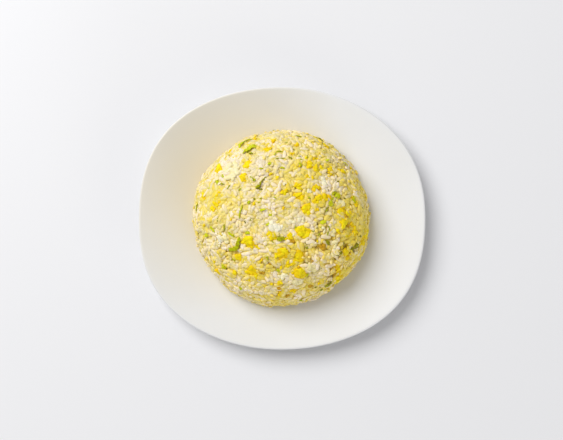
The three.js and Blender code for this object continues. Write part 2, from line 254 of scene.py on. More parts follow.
def hollows(place):
    """Height in mm and slope of the soft unevenness at places of the dome."""
    draw = np.random.default_rng(HOLLOW_SEED)
    height, slope = np.zeros(place.shape[:-1]), np.zeros(place.shape)
    for size, frequency in HOLLOWS:
        direction = unit(draw.normal(size=3)) * frequency * draw.uniform(*WAVE_SPREAD)
        phase = place @ direction + draw.uniform(0, 2 * math.pi)
        height += size * np.sin(phase)
        slope += size * np.cos(phase)[..., None] * direction
    return height, slope


def dome(bearing, turn, depth=0):
    """Places and outward directions on the dome, sunk by depth in mm."""
    reach = dome_reach(bearing)
    side = np.stack([np.cos(bearing), np.sin(bearing)], -1)
    foot = plate_top(*(DOME_CENTRE + reach[..., None] * side).T)
    out, up = np.sin(turn) ** (2 / FULLNESS), np.cos(turn) ** (2 / FULLNESS)
    flat = DOME_CENTRE + (reach * out)[..., None] * side
    place = np.concatenate([flat, (foot + (DOME_TOP - foot) * up)[..., None]], -1)
    outward = (out ** (FULLNESS - 1) / DOME_RADIUS)[..., None] * side
    upward = (up ** (FULLNESS - 1) / (DOME_TOP - foot))[..., None]
    normal = unit(np.concatenate([outward, upward], -1))
    height, slope = hollows(place)
    leaning = unit(normal - slope + normal * (slope * normal).sum(-1, keepdims=True))
    return place + normal * (height - depth)[..., None], leaning


def section_tables(rows=400):
    """Turns down the section with their share of its length, and of the dome's area, above them."""
    turns = np.linspace(0, math.pi / 2, rows)
    out, up = np.sin(turns) ** (2 / FULLNESS), np.cos(turns) ** (2 / FULLNESS)
    step = np.hypot(np.diff(out) * DOME_RADIUS, np.diff(up) * (DOME_TOP - DOME_EDGE_LEVEL))
    length = np.concatenate([[0], np.cumsum(step)])
    area = np.concatenate([[0], np.cumsum(step * (out[1:] + out[:-1]) / 2 * DOME_RADIUS)])
    return turns, length, area * 2 * math.pi


TURNS, LENGTHS, AREAS = section_tables()
print(f"the section is {LENGTHS[-1]:.0f} mm long and the skin {AREAS[-1] / 100:.0f} square cm")


def anywhere(count, draw):
    """Bearings and turns spread evenly by chance over the dome's area."""
    return draw.uniform(0, 2 * math.pi, count), np.interp(draw.uniform(0, AREAS[-1], count), AREAS, TURNS)


# %% [markdown]
# ## The camera
# It looks straight down from 0.97 m, so what lies high on the dome looks further out than it is.
# Toppings are listed by where they are seen from above, at the rim's level, and found on the dome
# by walking along the line of sight.

# %% Camera, and the dome under a place seen from above
CAMERA_HEIGHT, RIM_LEVEL = 970, 22
CAMERA_X, CAMERA_Y = -0.5, -1.5
VIEW_WIDTH = 477.4  # mm across the frame, at the rim's level
SENSOR_WIDTH = 36
SIGHT_STEPS, FURTHEST_OUT = 8, 0.995
camera_data = bpy.data.cameras.new("from_above")
camera_data.sensor_width = SENSOR_WIDTH
camera_data.lens = SENSOR_WIDTH * (CAMERA_HEIGHT - RIM_LEVEL) / VIEW_WIDTH
camera = bpy.data.objects.new("from_above", camera_data)
camera.location = Vector((CAMERA_X, CAMERA_Y, CAMERA_HEIGHT)) * MM
bpy.context.scene.collection.objects.link(camera)
bpy.context.scene.camera = camera


def dome_under(seen_x, seen_y):
    """Bearing and turn of the dome's point that is seen at a place of the rim's level."""
    eye = np.array([CAMERA_X, CAMERA_Y])
    level = (DOME_TOP + RIM_LEVEL) / 2
    for _ in range(SIGHT_STEPS):
        nearer = (CAMERA_HEIGHT - level) / (CAMERA_HEIGHT - RIM_LEVEL)
        plan = eye + (np.array([seen_x, seen_y]) - eye) * nearer
        away = plan - DOME_CENTRE
        bearing = math.atan2(away[1], away[0])
        out = min(np.hypot(*away) / dome_reach(bearing), FURTHEST_OUT)
        turn = math.asin(out ** (FULLNESS / 2))
        level = dome(np.array(bearing), np.array(turn))[0][2]
    return bearing, turn


print("lens:", round(camera_data.lens, 1), "mm")

# %% [markdown]
# ## Shader groups
# Three effects come back in several materials, so each is a node group: a value that wanders from
# place to place, a film of cooked egg that sits on food in soft patches, and fine bumps. Painted
# images could do the same, but noise in the object's own space needs no unwrapping and no files.


# %% Node helpers
def new_group(name, inputs, outputs):
    """A node group with inputs (name, type, default) and outputs (name, type), and its end nodes."""
    group = bpy.data.node_groups.new(name, "ShaderNodeTree")
    for socket, kind, default in inputs:
        made = group.interface.new_socket(socket, in_out="INPUT", socket_type=kind)
        made.default_value = default
    for socket, kind in outputs:
        group.interface.new_socket(socket, in_out="OUTPUT", socket_type=kind)
    print("node group:", name)
    return group, group.nodes.new("NodeGroupInput"), group.nodes.new("NodeGroupOutput")


def add(tree, kind, **settings):
    """A node with its settings; a setting whose key is a socket's name sets that input."""
    node = tree.nodes.new(kind)
    for key, value in settings.items():
        if hasattr(node, key):
            setattr(node, key, value)
        else:
            node.inputs[key.replace("_", " ")].default_value = value
    return node


def new_material(name, shader):
    """A material with a Principled shader whose constant inputs are set by name."""
    material = bpy.data.materials.new(name)
    material.use_nodes = True
    bsdf = material.node_tree.nodes["Principled BSDF"]
    for key, value in shader.items():
        bsdf.inputs[key].default_value = value
    print("material:", name)
    return material, material.node_tree, bsdf


def srgb(red, green, blue):
    """A linear colour from screen values 0 to 255."""
    shares = [value / 255 for value in (red, green, blue)]
    linear = [((s + 0.055) / 1.055) ** 2.4 if s > 0.04045 else s / 12.92 for s in shares]
    return (*linear, 1)


FLOAT, COLOR, VECTOR = "NodeSocketFloat", "NodeSocketColor", "NodeSocketVector"


# %% Group: a wandering value
def make_wander():
    inputs = [("Scale", FLOAT, 200), ("Low", FLOAT, 0), ("High", FLOAT, 1)]
    group, start, end = new_group("wander", inputs, [("Value", FLOAT)])
    place = add(group, "ShaderNodeTexCoord")
    noise = add(group, "ShaderNodeTexNoise", Detail=3, Roughness=0.55)
    spread = add(group, "ShaderNodeMapRange", From_Min=0.32, From_Max=0.68)
    link = group.links.new
    link(place.outputs["Object"], noise.inputs["Vector"])
    link(start.outputs["Scale"], noise.inputs["Scale"])
    link(noise.outputs["Fac"], spread.inputs["Value"])
    link(start.outputs["Low"], spread.inputs["To Min"])
    link(start.outputs["High"], spread.inputs["To Max"])
    link(spread.outputs["Result"], end.inputs["Value"])
    return group


wander = make_wander()


# %% Group: a film of egg
def make_egg_film():
    inputs = [
        ("Under", COLOR, (1, 1, 1, 1)), ("Egg", COLOR, (1, 1, 0, 1)),
        ("Amount", FLOAT, 0.5), ("Patch Scale", FLOAT, 300),
    ]
    group, start, end = new_group("egg_film", inputs, [("Color", COLOR)])
    patches = add(group, "ShaderNodeGroup", node_tree=wander, Low=-0.35, High=0.35)
    total = add(group, "ShaderNodeMath", operation="ADD", use_clamp=True)
    mix = add(group, "ShaderNodeMix", data_type="RGBA")
    link = group.links.new
    link(start.outputs["Patch Scale"], patches.inputs["Scale"])
    link(start.outputs["Amount"], total.inputs[0])
    link(patches.outputs["Value"], total.inputs[1])
    link(total.outputs["Value"], mix.inputs["Factor"])
    link(start.outputs["Under"], mix.inputs["A"])
    link(start.outputs["Egg"], mix.inputs["B"])
    link(mix.outputs["Result"], end.inputs["Color"])
    return group


egg_film = make_egg_film()


# %% Group: fine bumps
def make_fine_bumps():
    inputs = [("Scale", FLOAT, 900), ("Strength", FLOAT, 0.3), ("Distance", FLOAT, 0.0002)]
    group, start, end = new_group("fine_bumps", inputs, [("Normal", VECTOR)])
    place = add(group, "ShaderNodeTexCoord")
    noise = add(group, "ShaderNodeTexNoise", Detail=2)
    bump = add(group, "ShaderNodeBump")
    link = group.links.new
    link(place.outputs["Object"], noise.inputs["Vector"])
    link(start.outputs["Scale"], noise.inputs["Scale"])
    link(noise.outputs["Fac"], bump.inputs["Height"])
    link(start.outputs["Strength"], bump.inputs["Strength"])
    link(start.outputs["Distance"], bump.inputs["Distance"])
    link(bump.outputs["Normal"], end.inputs["Normal"])
    return group


fine_bumps = make_fine_bumps()

# %% [markdown]
# ## Glaze
# White porcelain glaze is smooth and a little wavy. Beside the rice, on the upper left, it looks cream
# from the warm light that the egg throws back, fading with distance and gone at the lip. Bounced
# light alone leaves it too pale, so the tint is mixed into the glaze by place. The standing face of
# the foot is bare, dry clay.


# %% Material of the plate
CREAM_PLACE, CREAM_REACH = (-0.055, 0.035, 0.015), 0.12  # metres, as nodes see places
LIP_TURNS, INSIDE_TURNS = 0.55, 0.9  # the normal's upward share past the lip's edge, and inside it
BARE_BELOW = 0.00012  # metres above the table
GLAZED_ROUGHNESS, CLAY_ROUGHNESS = 0.32, 0.8


def make_glaze():
    material, tree, bsdf = new_material("porcelain_glaze", {"IOR": 1.45, "Specular IOR Level": 0.35})
    tone = add(tree, "ShaderNodeGroup", node_tree=wander, Scale=14, Low=0, High=1)
    white = add(tree, "ShaderNodeMix", data_type="RGBA")
    white.inputs["A"].default_value = srgb(233, 233, 232)
    white.inputs["B"].default_value = srgb(236, 236, 236)
    place = add(tree, "ShaderNodeTexCoord")
    split = add(tree, "ShaderNodeSeparateXYZ")
    away = add(tree, "ShaderNodeVectorMath", operation="DISTANCE")
    away.inputs[1].default_value = CREAM_PLACE
    creamy = add(tree, "ShaderNodeMapRange", From_Min=CREAM_REACH, From_Max=0)
    facing = add(tree, "ShaderNodeSeparateXYZ")
    level = add(tree, "ShaderNodeMapRange", From_Min=LIP_TURNS, From_Max=INSIDE_TURNS)
    inside = add(tree, "ShaderNodeMath", operation="MULTIPLY")
    cream = add(tree, "ShaderNodeMix", data_type="RGBA")
    cream.inputs["B"].default_value = srgb(223, 212, 185)
    bare = add(tree, "ShaderNodeMath", operation="LESS_THAN")
    bare.inputs[1].default_value = BARE_BELOW
    clay = add(tree, "ShaderNodeMix", data_type="RGBA")
    clay.inputs["B"].default_value = srgb(214, 205, 188)
    dry = add(tree, "ShaderNodeMix", data_type="FLOAT")
    dry.inputs["A"].default_value = GLAZED_ROUGHNESS
    dry.inputs["B"].default_value = CLAY_ROUGHNESS
    ripple = add(tree, "ShaderNodeGroup", node_tree=fine_bumps, Scale=60, Strength=0.12, Distance=0.0006)
    link = tree.links.new
    link(tone.outputs["Value"], white.inputs["Factor"])
    link(place.outputs["Object"], away.inputs[0])
    link(away.outputs["Value"], creamy.inputs["Value"])
    link(place.outputs["Normal"], facing.inputs["Vector"])
    link(facing.outputs["Z"], level.inputs["Value"])
    link(creamy.outputs["Result"], inside.inputs[0])
    link(level.outputs["Result"], inside.inputs[1])
    link(inside.outputs["Value"], cream.inputs["Factor"])
    link(white.outputs["Result"], cream.inputs["A"])
    link(place.outputs["Object"], split.inputs["Vector"])
    link(split.outputs["Z"], bare.inputs[0])
    link(bare.outputs["Value"], clay.inputs["Factor"])
    link(bare.outputs["Value"], dry.inputs["Factor"])
    link(cream.outputs["Result"], clay.inputs["A"])
    link(clay.outputs["Result"], bsdf.inputs["Base Color"])
    link(dry.outputs["Result"], bsdf.inputs["Roughness"])
    link(ripple.outputs["Normal"], bsdf.inputs["Normal"])
    return material


plate.data.materials.append(make_glaze())

# %% [markdown]
# ## Toppings seen from above
# The eye knows the egg curds and scallion bits by where they sit. Chance could scatter them all, but
# it makes them look sprinkled, where stirring leaves them in groups. So the ones that stand out are
# listed: seen place in mm, then size. Chance adds the crumbs between them. Two more lists say where
# more egg clings to the rice and where the rice lies loose.

# %% Lists of toppings
CURDS = [  # x, y, length, width, turn in degrees
    (17, -11, 13, 8.5, -25), (6.3, -15.5, 9, 4, 100), (3.5, -17, 4, 3.5, 0), (0, -29.7, 9, 8.5, 90),
    (13.5, -32.5, 12, 7, 85), (6, -39.5, 10, 5, 25), (14.5, -46.5, 11, 7.5, -30), (52.5, -3.5, 7, 5.5, 0),
    (60, -5, 5, 3, -40), (48, -11, 6, 4, -20), (56, -14.5, 8, 3, -5), (62.5, -12, 6, 5, 30),
    (72, -13.5, 9, 5.5, 60), (68.5, -19.5, 9, 5, 75), (54.5, -29.5, 6, 5, 80), (55, -33.5, 4, 4, 0),
    (47, -41, 6, 4, 95), (48.5, -44.5, 5, 4, 0), (48, -50, 7, 5, 80), (55, -47.5, 4, 3, 0),
    (62, -37, 8, 3, 60), (32.5, -56, 5, 2.5, 0), (9, -62, 7, 3.5, 0), (12.5, -17.5, 5, 2.5, 0),
    (2.5, 22.5, 7, 5, 80), (14, 19, 9, 6.5, -15), (14, 27.5, 8, 4.5, -60), (27.8, 25.5, 6, 5, -40),
    (35.5, 17.5, 13, 5, 3), (29, 15, 8, 5, 40), (22, 11.5, 6, 4, 40), (21, 7.2, 9, 6, -5),
    (29, 7.5, 5, 3.5, 0), (51.5, 7, 8, 6.5, 0), (57, 3.5, 6, 4, 0), (63, 11.5, 5, 4, 0),
    (60.3, 17.5, 7, 3, 100), (22.5, 45, 7, 5, 100), (21, 51.5, 4, 3, 0), (27.5, 51, 6, 3, 0),
    (28.5, 42, 5, 4.5, 0), (33, 43, 4, 3, 0), (41, 42, 6, 4, 100), (42, 37, 8, 3.5, -40),
    (51, 40, 5, 4, 0), (58.5, 43, 5, 3, -50), (38.5, 61, 5, 3, -20), (12.5, 63, 6, 3, 35),
    (8.5, 54.5, 6, 3, 35), (26, 34, 3.5, 3, 0), (21.5, 36, 6, 2.5, 90), (-55, 42, 7.5, 6, 50),
    (-29.5, 46.5, 9.5, 5.5, 30), (-33.5, 35.5, 9.5, 5.5, 100), (-58.5, 8, 6, 4, 10), (-56, 11.5, 5, 4, 0),
    (-52.5, 13.5, 5, 3, 0), (-55, 20, 6, 3, 60), (-67, 20, 8, 3, 110), (-12, 58.5, 8, 3.5, 10),
    (-23.5, 68, 6, 2.5, 100), (-7.5, 66, 6, 3, 5), (-44, 57.5, 6, 3, 60), (-10, 38, 4.5, 3, 90),
    (-29, -21.5, 12, 6.5, -10), (-29, -18, 4, 3.5, 0), (-21.5, -24, 4.5, 3.5, 40),
    (-37.5, -33.3, 6, 4.5, -20), (-54, -45.5, 6, 4, 100), (-40, -46, 5, 3.5, -20),
    (-25.5, -45, 9, 6.5, -40), (-22, -49, 6, 4, -60), (-28.7, -53.3, 4.5, 3.5, 30),
    (-15, -58.3, 4.5, 2.5, 0), (-2, -55.8, 6, 4, 10), (-9.5, -55.5, 4, 3, 90), (-2, -66, 7, 3.5, 100),
    (-8.5, -15, 9, 5, -50), (-6.5, -16.5, 6, 5, 0), (-18, -36, 6, 2.5, 60), (-58, -37, 6, 3, 100),
]
BROWNED_AND_SHADED = [  # egg darker than the curds, listed like them: in part caught a little on the pan, in part painted shade
    (-17, -46.3, 7, 2.5, -12), (-19.5, -43.5, 5, 2, 85), (-10.8, -40.5, 7, 2.6, 75), (-3, -60, 5, 3, 60),
    (8.5, -20, 6, 3, -20), (56, -6.5, 6, 3, 0), (44.5, -48.5, 3, 2.4, 0), (31.2, 25.5, 4, 2.4, 80),
    (17, 9.2, 5, 2, 0), (35, -25, 7, 4, 100), (14, -42, 4, 2.5, 0), (72, -17.5, 4, 2, 60),
    (4, -66, 4, 3, 0), (26, -36.3, 4, 1.8, 0), (54, 1.5, 5, 2.5, 0), (24, -58, 6, 3, 0),
]
WHITES = [  # x, y, length, width, turn in degrees, creaminess from 0
    (-45, 42, 10, 7, 90, 0.6), (-40, 41, 9, 7, 90, 0.75), (-42, 35, 7, 5.5, 0, 0.7),
    (-5.5, -8.5, 11, 6.5, -8, 0), (-48.5, -18, 8, 5.5, -30, 0.8), (-52.5, -17.5, 7, 5, 90, 0.2),
    (-53, -22.5, 6, 2.5, 90, 0.3), (-49.5, -13.5, 5, 3.5, -30, 0.1), (26, -42, 8, 6.5, 0, 1.2),
    (35.5, 32, 9, 5, -75, 0.15), (16.5, -1, 8, 4.5, 0, 0.5), (8, -2.5, 7, 4, 0, 0.6),
    (1, 29.5, 8, 3, -15, 0.2), (45, -21.5, 9, 4.5, 80, 0.9), (35.5, -9, 8, 3.5, 95, 0.6),
    (43.5, -12, 8, 4, 90, 0.9), (10, -13, 9, 3, -70, 0.3), (14, -54.5, 10, 6, -10, 0.8),
    (1, -49.5, 9, 5, 20, 0.5), (42, -31, 6, 3.5, 0, 1.2), (50, 13.5, 6, 5, 0, 1), (23, 23, 5, 4, 0, 0.5),
    (62.5, -29, 5, 2.5, 0, 0.8),
]
SCALLIONS = [  # x, y, length, seen width, bend radius, turn in degrees, darkness 0 to 1
    (-34.3, 61.8, 9, 3.8, 5, 65, 0.05), (-30, 65.3, 10, 2.4, 12, 25, 0.3),
    (-25.7, 60.3, 9, 5.6, 8, 15, 0.1), (-30.3, 57.3, 7, 4, 8, 30, 0.2), (-29.2, 57, 3.5, 2, 3, 70, 0.7),
    (-26.5, 55.3, 5, 2.4, 3, -10, 0.35), (-45, 54, 2.5, 2, 3, 0, 0.7), (-37, 51, 2.5, 2, 3, 0, 0),
    (-12.5, 52.2, 1.8, 1.6, 3, 0, 1), (-10.5, 46, 3.6, 3, 4, 0, 0.05), (-5.3, 40.5, 2.6, 2.2, 3, 0, 0.8),
    (0.5, 43.3, 4.5, 2, 5, 0, 0.35), (-1, 50.8, 9, 1.2, 20, 5, 0.8), (7, 51.5, 5, 1.6, 8, -35, 0.75),
    (-2, 56.5, 8, 1.2, 20, -3, 0.55), (3.5, 64, 4, 1.3, 6, 10, 0.6), (-26, 34.8, 7, 1.2, 10, -38, 0.6),
    (-24, 33, 2.5, 2.4, 3, 0, 0.3), (-18.3, 30, 5.5, 2.2, 5, 70, 0.85), (-20.5, 27, 5, 3, 4, 30, 0.6),
    (-19, 25, 5, 1.6, 5, -10, 0.95), (-15.5, 33.5, 5, 1.3, 8, 50, 0.75), (-12, 33.8, 3.5, 1, 4, -40, 0.6),
    (-55.3, 31, 4.5, 2.6, 4, -60, 0.3), (-51, 29, 5, 1.6, 5, -5, 0.6), (-62, 26.2, 2.5, 2.5, 3, 0, 0.05),
    (-45.2, 26.5, 4.5, 1.2, 8, 50, 0.65), (-36, 24.5, 3, 1.8, 4, 30, 0.65),
    (-24, 16.3, 2.6, 2, 3, 10, 0.8), (-28, 13.7, 3, 3, 4, 60, 0.45), (-35.5, 5.5, 11, 1.6, 20, 75, 0.3),
    (-16.7, 7.5, 5, 2.6, 6, 10, 0.05), (-10.2, 2.8, 3.5, 2, 4, 10, 0.2), (-19, 13.8, 3, 1.2, 5, 15, 0.7),
    (-73, 9, 7, 2.4, 10, 95, 0.35), (-6, 17.5, 4, 1.5, 3, -30, 0.4), (-17.5, 42, 3.5, 2, 4, 0, 0.3),
    (-50, 36, 4, 2, 4, -60, 0.2), (14, 70.2, 6.5, 2, 10, -12, 0.3), (32, 66.8, 6.5, 1.6, 12, -33, 0.85),
    (34.9, 57, 2, 1.6, 3, 90, 0.9), (37.5, 48.5, 3.5, 2.8, 4, 40, 0.1), (54, 46, 6, 2, 8, -25, 0.05),
    (15.5, 45.5, 4.5, 2.4, 3, -60, 0.25), (47.1, 30.5, 4, 1.8, 6, 65, 1), (44, 21.5, 6, 2.6, 5, 25, 0.65),
    (46.5, 19, 5, 4.5, 5, -40, 0.2), (39.3, 24, 4, 1.2, 3, -65, 0.9), (42.5, 16.5, 5, 1.6, 6, 55, 0.6),
    (41, 12.5, 5, 4, 5, 75, 0.15), (32.3, 9.8, 2.5, 1.6, 3, -30, 0.95), (38, 7.5, 5, 1.4, 6, 60, 0.75),
    (41.2, 5.3, 2, 2, 3, 0, 0.8), (68.7, 8.5, 3.6, 1.6, 4, 80, 0.9), (61, 15.8, 6, 2.4, 10, 100, 0.4),
    (54, 18.5, 4, 1.6, 5, 90, 0.7), (23.2, 17.3, 2.5, 2, 3, 0, 0.6), (10, 26.8, 2.8, 1.6, 3, 0, 0.85),
    (19.8, 16.8, 1.6, 1.4, 3, 0, 0.9), (9.5, 59, 2.5, 1.6, 3, 0, 0.8), (15, 53, 2.6, 2.2, 3, 0, 0.6),
    (21.5, 52.5, 4, 1, 10, 90, 0.7), (33, 52, 3.5, 1.6, 5, 0, 0.6),
    (-36.8, -20.5, 9.5, 3.2, 12, 82, 0.55), (-42, -26.3, 8, 3.6, 9, 8, 0.45),
    (-38.5, -24.5, 5, 3.6, 6, 45, 0.45), (-41.3, -35, 3.5, 1.8, 4, -60, 0.25),
    (-39.3, -37, 2.5, 1.5, 3, 45, 0.85), (-45.3, -38.5, 2, 1.8, 3, 90, 1),
    (-49, -40.7, 5.5, 3, 5, -50, 0.15), (-11, -5, 5.5, 2.6, 6, 12, 0), (-1, -17, 7, 3.4, 5, 5, 0.6),
    (-3.2, -14, 4, 2, 5, 90, 0.75), (-55, -13, 6, 1.6, 10, 85, 0.6), (-49, -8, 5.5, 1.6, 8, 90, 0.6),
    (-59.5, -9, 7, 2, 10, -40, 0.2), (-43, -13.5, 7, 2, 10, -35, 0.2), (-64, -14, 4, 3.5, 4, 0, 0),
    (-29.5, -12.2, 4, 3, 4, 0, 0.2), (-26.3, -1.2, 2.8, 2, 3, 20, 0.8), (-31.8, -2.5, 4.5, 1, 10, 95, 1),
    (-54.8, -1.5, 3, 2, 4, 90, 0.7), (-7.3, -47.5, 2, 1.8, 3, 90, 0.95),
    (-1.5, -45.5, 2.6, 1.6, 3, 60, 0.9), (-3.5, -44.5, 3, 3, 4, 0, 0.2),
    (-35, -59.5, 4, 2.4, 5, 60, 0.35), (-12.5, -33.5, 4, 1.5, 6, 95, 0.45),
    (29, -8.5, 2.6, 2.2, 3, 40, 1), (27, -11, 3, 1.2, 5, 20, 0.8), (31.3, -14, 3, 1.2, 4, 55, 0.8),
    (33.2, -7.5, 3.5, 1.5, 5, 95, 0.5), (40, -8.5, 4.5, 1, 6, 95, 0.75), (38.3, -14, 6, 1.2, 8, 80, 0.6),
    (38.8, -20.5, 4.5, 3.2, 4, -60, 0.75), (11, -7, 2.5, 2.5, 3, 0, 0.1),
    (21, -21.5, 2.5, 1.6, 3, 0, 0.85), (21, -25, 2.5, 1.6, 3, 0, 0.75), (52.5, -21.3, 2, 1.8, 3, 0, 0.95),
    (59, -20.8, 2.5, 1.2, 3, 80, 0.9), (62.5, -23.3, 6, 3.8, 4, 60, 0.8),
    (60, -26, 4.5, 2.4, 4, -20, 0.9), (65.7, -27.2, 2, 1.5, 3, 0, 1), (48, -29.5, 7.5, 2.4, 8, 12, 0.9),
    (39.3, -56, 7.5, 3.6, 9, 35, 0.8), (17.2, -47, 4, 2, 5, 100, 0.35), (20.5, -48.7, 5, 2.2, 4, 20, 0.3),
    (33.5, -42.5, 3.5, 1.6, 4, -15, 0.7), (21.2, -38.7, 2.2, 1.8, 3, 30, 0.8),
    (17, -69.5, 5, 2, 6, -10, 0.4), (13, -67, 3.5, 1.2, 5, 0, 0.7), (33.5, -61, 3.5, 2, 4, -20, 0.65),
    (28.5, -58.7, 2, 1, 3, 20, 0.9), (34.5, -3.3, 5, 3, 8, 10, 0), (42.5, -3.5, 2, 1.6, 3, 50, 0.6),
]
EGGY_PATCHES = [  # x, y, reach, more or less egg on the grains
    (-45, 42, 14, -0.5), (58, -2, 12, 0.3), (-28, 10, 16, -0.25), (4, -3, 14, -0.3), (22, -4, 10, -0.25),
    (36, 30, 8, -0.3), (-48, -16, 12, -0.3), (-10, 35, 14, -0.2), (2, -52, 10, -0.3),
    (28, -30, 14, -0.15), (-18, -28, 10, -0.2), (-5, 72, 20, -0.1), (62, 4, 15, 0.3), (64, -14, 14, 0.35),
    (68, 28, 12, 0.2), (54, -42, 14, 0.25), (16, 22, 12, 0.25), (-58, 12, 9, 0.2), (-25, -46, 9, 0.25),
    (6, -36, 12, 0.2), (-2, -68, 14, 0.25), (20, 46, 10, 0.2), (-46, -30, 9, 0.2), (12, 58, 12, 0.15),
    (36, -26, 6, 0.4), (22, -58, 7, 0.3), (34, -2, 6, 0.3), (-53, 2, 7, 0.25), (44, -12, 5, 0.3),
    (5, 34, 5, 0.3), (-38, 17, 6, 0.25),
]
LOOSE_PATCHES = [  # x, y, reach, how loose the rice lies, less than 0 where it is pressed tight
    (30, -8, 6, 1.2), (38, -19, 5, 1.2), (12, -21, 7, 0.9), (49, -29, 7, 1.2), (-11, -41, 5, 0.9),
    (-19, -45, 5, 0.8), (60, -25, 6, 0.9), (28, -23, 8, 0.9), (20, -38, 6, 0.6), (34, -42, 6, 0.7),
    (-12, 36, 7, 0.7), (-20, 28, 6, 0.7), (44, 30, 6, 0.8), (38, 8, 5, 0.8), (55, 14, 6, 0.8),
    (-45, -30, 7, 0.6), (-33, -2, 6, 0.8), (-55, -10, 7, 0.7), (10, 25, 5, 0.6), (42, -47, 5, 0.7),
    (2, 51, 6, 0.5), (-35, 45, 32, -0.5), (-62, 8, 24, -0.4), (8, 64, 24, -0.4), (0, 0, 16, -0.2),
]


def patches(rows, places):
    """The sum, at places (..., 3), of soft round patches seen from above."""
    total = np.zeros(places.shape[:-1])
    for x, y, reach, amount in rows:
        away = (places[..., 0] - x) ** 2 + (places[..., 1] - y) ** 2
        total += amount * np.exp(-away / reach**2)
    return total


print(f"by hand: {len(CURDS + BROWNED_AND_SHADED)} curds, {len(WHITES)} whites and {len(SCALLIONS)} scallion bits")

# %% [markdown]
# ## Laying things on the skin
# Everything on the dome lies more or less flat on it. Simulated falling would let grains roll off a
# side this steep, where real ones cling. So each thing gets its own axes on the skin instead: along,
# across and outward.

# %% Axes on the skin
CLEAR_OF_PLATE = 0.05


def skin_frames(bearing, turn, depth, spin, tilt):
    """Places, and the along, across and outward directions of things laid on the dome.

    Spin turns a thing from the downhill direction and tilt lifts its front end."""
    place, normal = dome(bearing, turn, depth)
    level = np.stack([-np.sin(bearing), np.cos(bearing), 0 * bearing], -1)
    downhill = unit(np.cross(level, normal))
    along = np.cos(spin)[:, None] * downhill + np.sin(spin)[:, None] * level
    along = unit(along * np.cos(tilt)[:, None] + normal * np.sin(tilt)[:, None])
    across = unit(np.cross(normal, along))
    return place, along, across, np.cross(along, across)


def laid(shapes, place, along, across, outward):
    """Shapes (count, points, 3) carried from their own axes onto the skin, and kept off the plate."""
    axes = np.stack([along, across, outward], 1)
    put = place[:, None] + np.einsum("npa,nad->npd", shapes, axes)
    above = (put[..., 2] - plate_top(put[..., 0], put[..., 1])).min(1)
    put[..., 2] += np.maximum(CLEAR_OF_PLATE - above, 0)[:, None]
    return put


# %% [markdown]
# ## Clumps
# A curd is torn and craggy, and one rounded shape would look like a bean. So each listed one is a
# clump of overlapping lumps in a spiral, stretched along its own direction. The clumps are placed
# first, because the rice has to leave room for them.


# %% Clumps of lumps
CURD_LUMP_AREA, WHITE_LUMP_AREA = 8, 12
SPIRAL_ANGLE, SPIRAL_REACH = 2.4, 0.42
SPIRAL_JITTER = (0.75, 1.1)
LUMP_INSET = 1.5
LUMP_WIDTHS, LUMP_LENGTHS = (0.55, 0.8), (1, 1.7)  # shares of the clump's width, and of the lump's
LUMP_FLATNESS, THINNEST_LUMP = 0.35, 1.1
STEEPEST, SMALLEST_CIRCLE = 0.5, 6


def beside(bearing, turn, down, level):
    """Places of the dome that lie some mm down and some mm level from a place."""
    travelled = np.abs(np.interp(turn, TURNS, LENGTHS) + down)
    reach = max(DOME_RADIUS * math.sin(turn), SMALLEST_CIRCLE)
    return bearing + level / reach, np.interp(travelled, LENGTHS, TURNS)


def clustered(rows, angles, lump_area, draw):
    """Each listed curd as a clump of lumps: their bearings, turns, sizes and row numbers."""
    bearing, turn, sizes, owner = [], [], [], []
    for number, (row, own) in enumerate(zip(rows, angles)):
        length, width = row[2:4]
        steepness = 1 / max(dome(np.array(own[0]), np.array(own[1]))[1][2], STEEPEST)
        lumps = max(2, round(length * width / lump_area * math.sqrt(steepness)))
        away = SPIRAL_REACH * np.sqrt((np.arange(lumps) + 0.5) / lumps) * draw.uniform(*SPIRAL_JITTER, lumps)
        angle = np.arange(lumps) * SPIRAL_ANGLE + draw.uniform(0, 6)
        long = away * np.cos(angle) * (length - LUMP_INSET)
        short = away * np.sin(angle) * (width - LUMP_INSET)
        heading = math.radians(row[4]) - own[0]
        down = (long * math.cos(heading) - short * math.sin(heading)) * steepness
        level = long * math.sin(heading) + short * math.cos(heading)
        placed = beside(*own, down, level)
        bearing += list(placed[0])
        turn += list(placed[1])
        across = width * draw.uniform(*LUMP_WIDTHS, lumps) * math.sqrt(steepness)
        thick = across * LUMP_FLATNESS + THINNEST_LUMP
        sizes += list(zip(across * draw.uniform(*LUMP_LENGTHS, lumps), across, thick))
        owner += [number] * lumps
    return np.array(bearing), np.array(turn), np.array(sizes), np.array(owner)


def found_on_dome(rows):
    """Bearing and turn of each listed thing."""
    return np.array([dome_under(row[0], row[1]) for row in rows])


curd_clumps = clustered(CURDS + BROWNED_AND_SHADED, found_on_dome(CURDS + BROWNED_AND_SHADED), CURD_LUMP_AREA, rng)
white_clumps = clustered(WHITES, found_on_dome(WHITES), WHITE_LUMP_AREA, rng)
print(len(curd_clumps[0]), "lumps of curd and", len(white_clumps[0]), "of white")

# %% [markdown]
# ## Grains
# A cooked grain is about 8 mm long, 3.6 wide and, once pressed, 2.2 thick. Pressing packs the outer
# grains flat against the bowl, where they touch and cling, some a little over their neighbours. A
# physics run could pack them too, but would take far longer. So each layer's grains are thrown on
# by chance, then pushed apart where they overlap, on a half sphere with the dome's area. Each grain
# counts as three balls in a row, and the lumps of egg as single balls that don't move.

# %% Packing one layer
GRAIN_LENGTH, GRAIN_WIDTH, GRAIN_THICKNESS = 8, 3.6, 2.2
SPHERE = math.sqrt(AREAS[-1] / 2 / math.pi)
BALLS = np.array([-1, 0, 1]) * (GRAIN_LENGTH - GRAIN_WIDTH) / 2
GRAINS_IN_LAYER = 1450
RECOUNT = 8  # rounds between two counts of which grains are near each other
MOVE_SHARE, TURN_SHARE = 0.7, 0.3
LOWEST = 0.012  # keeps grains on the upper half of the sphere


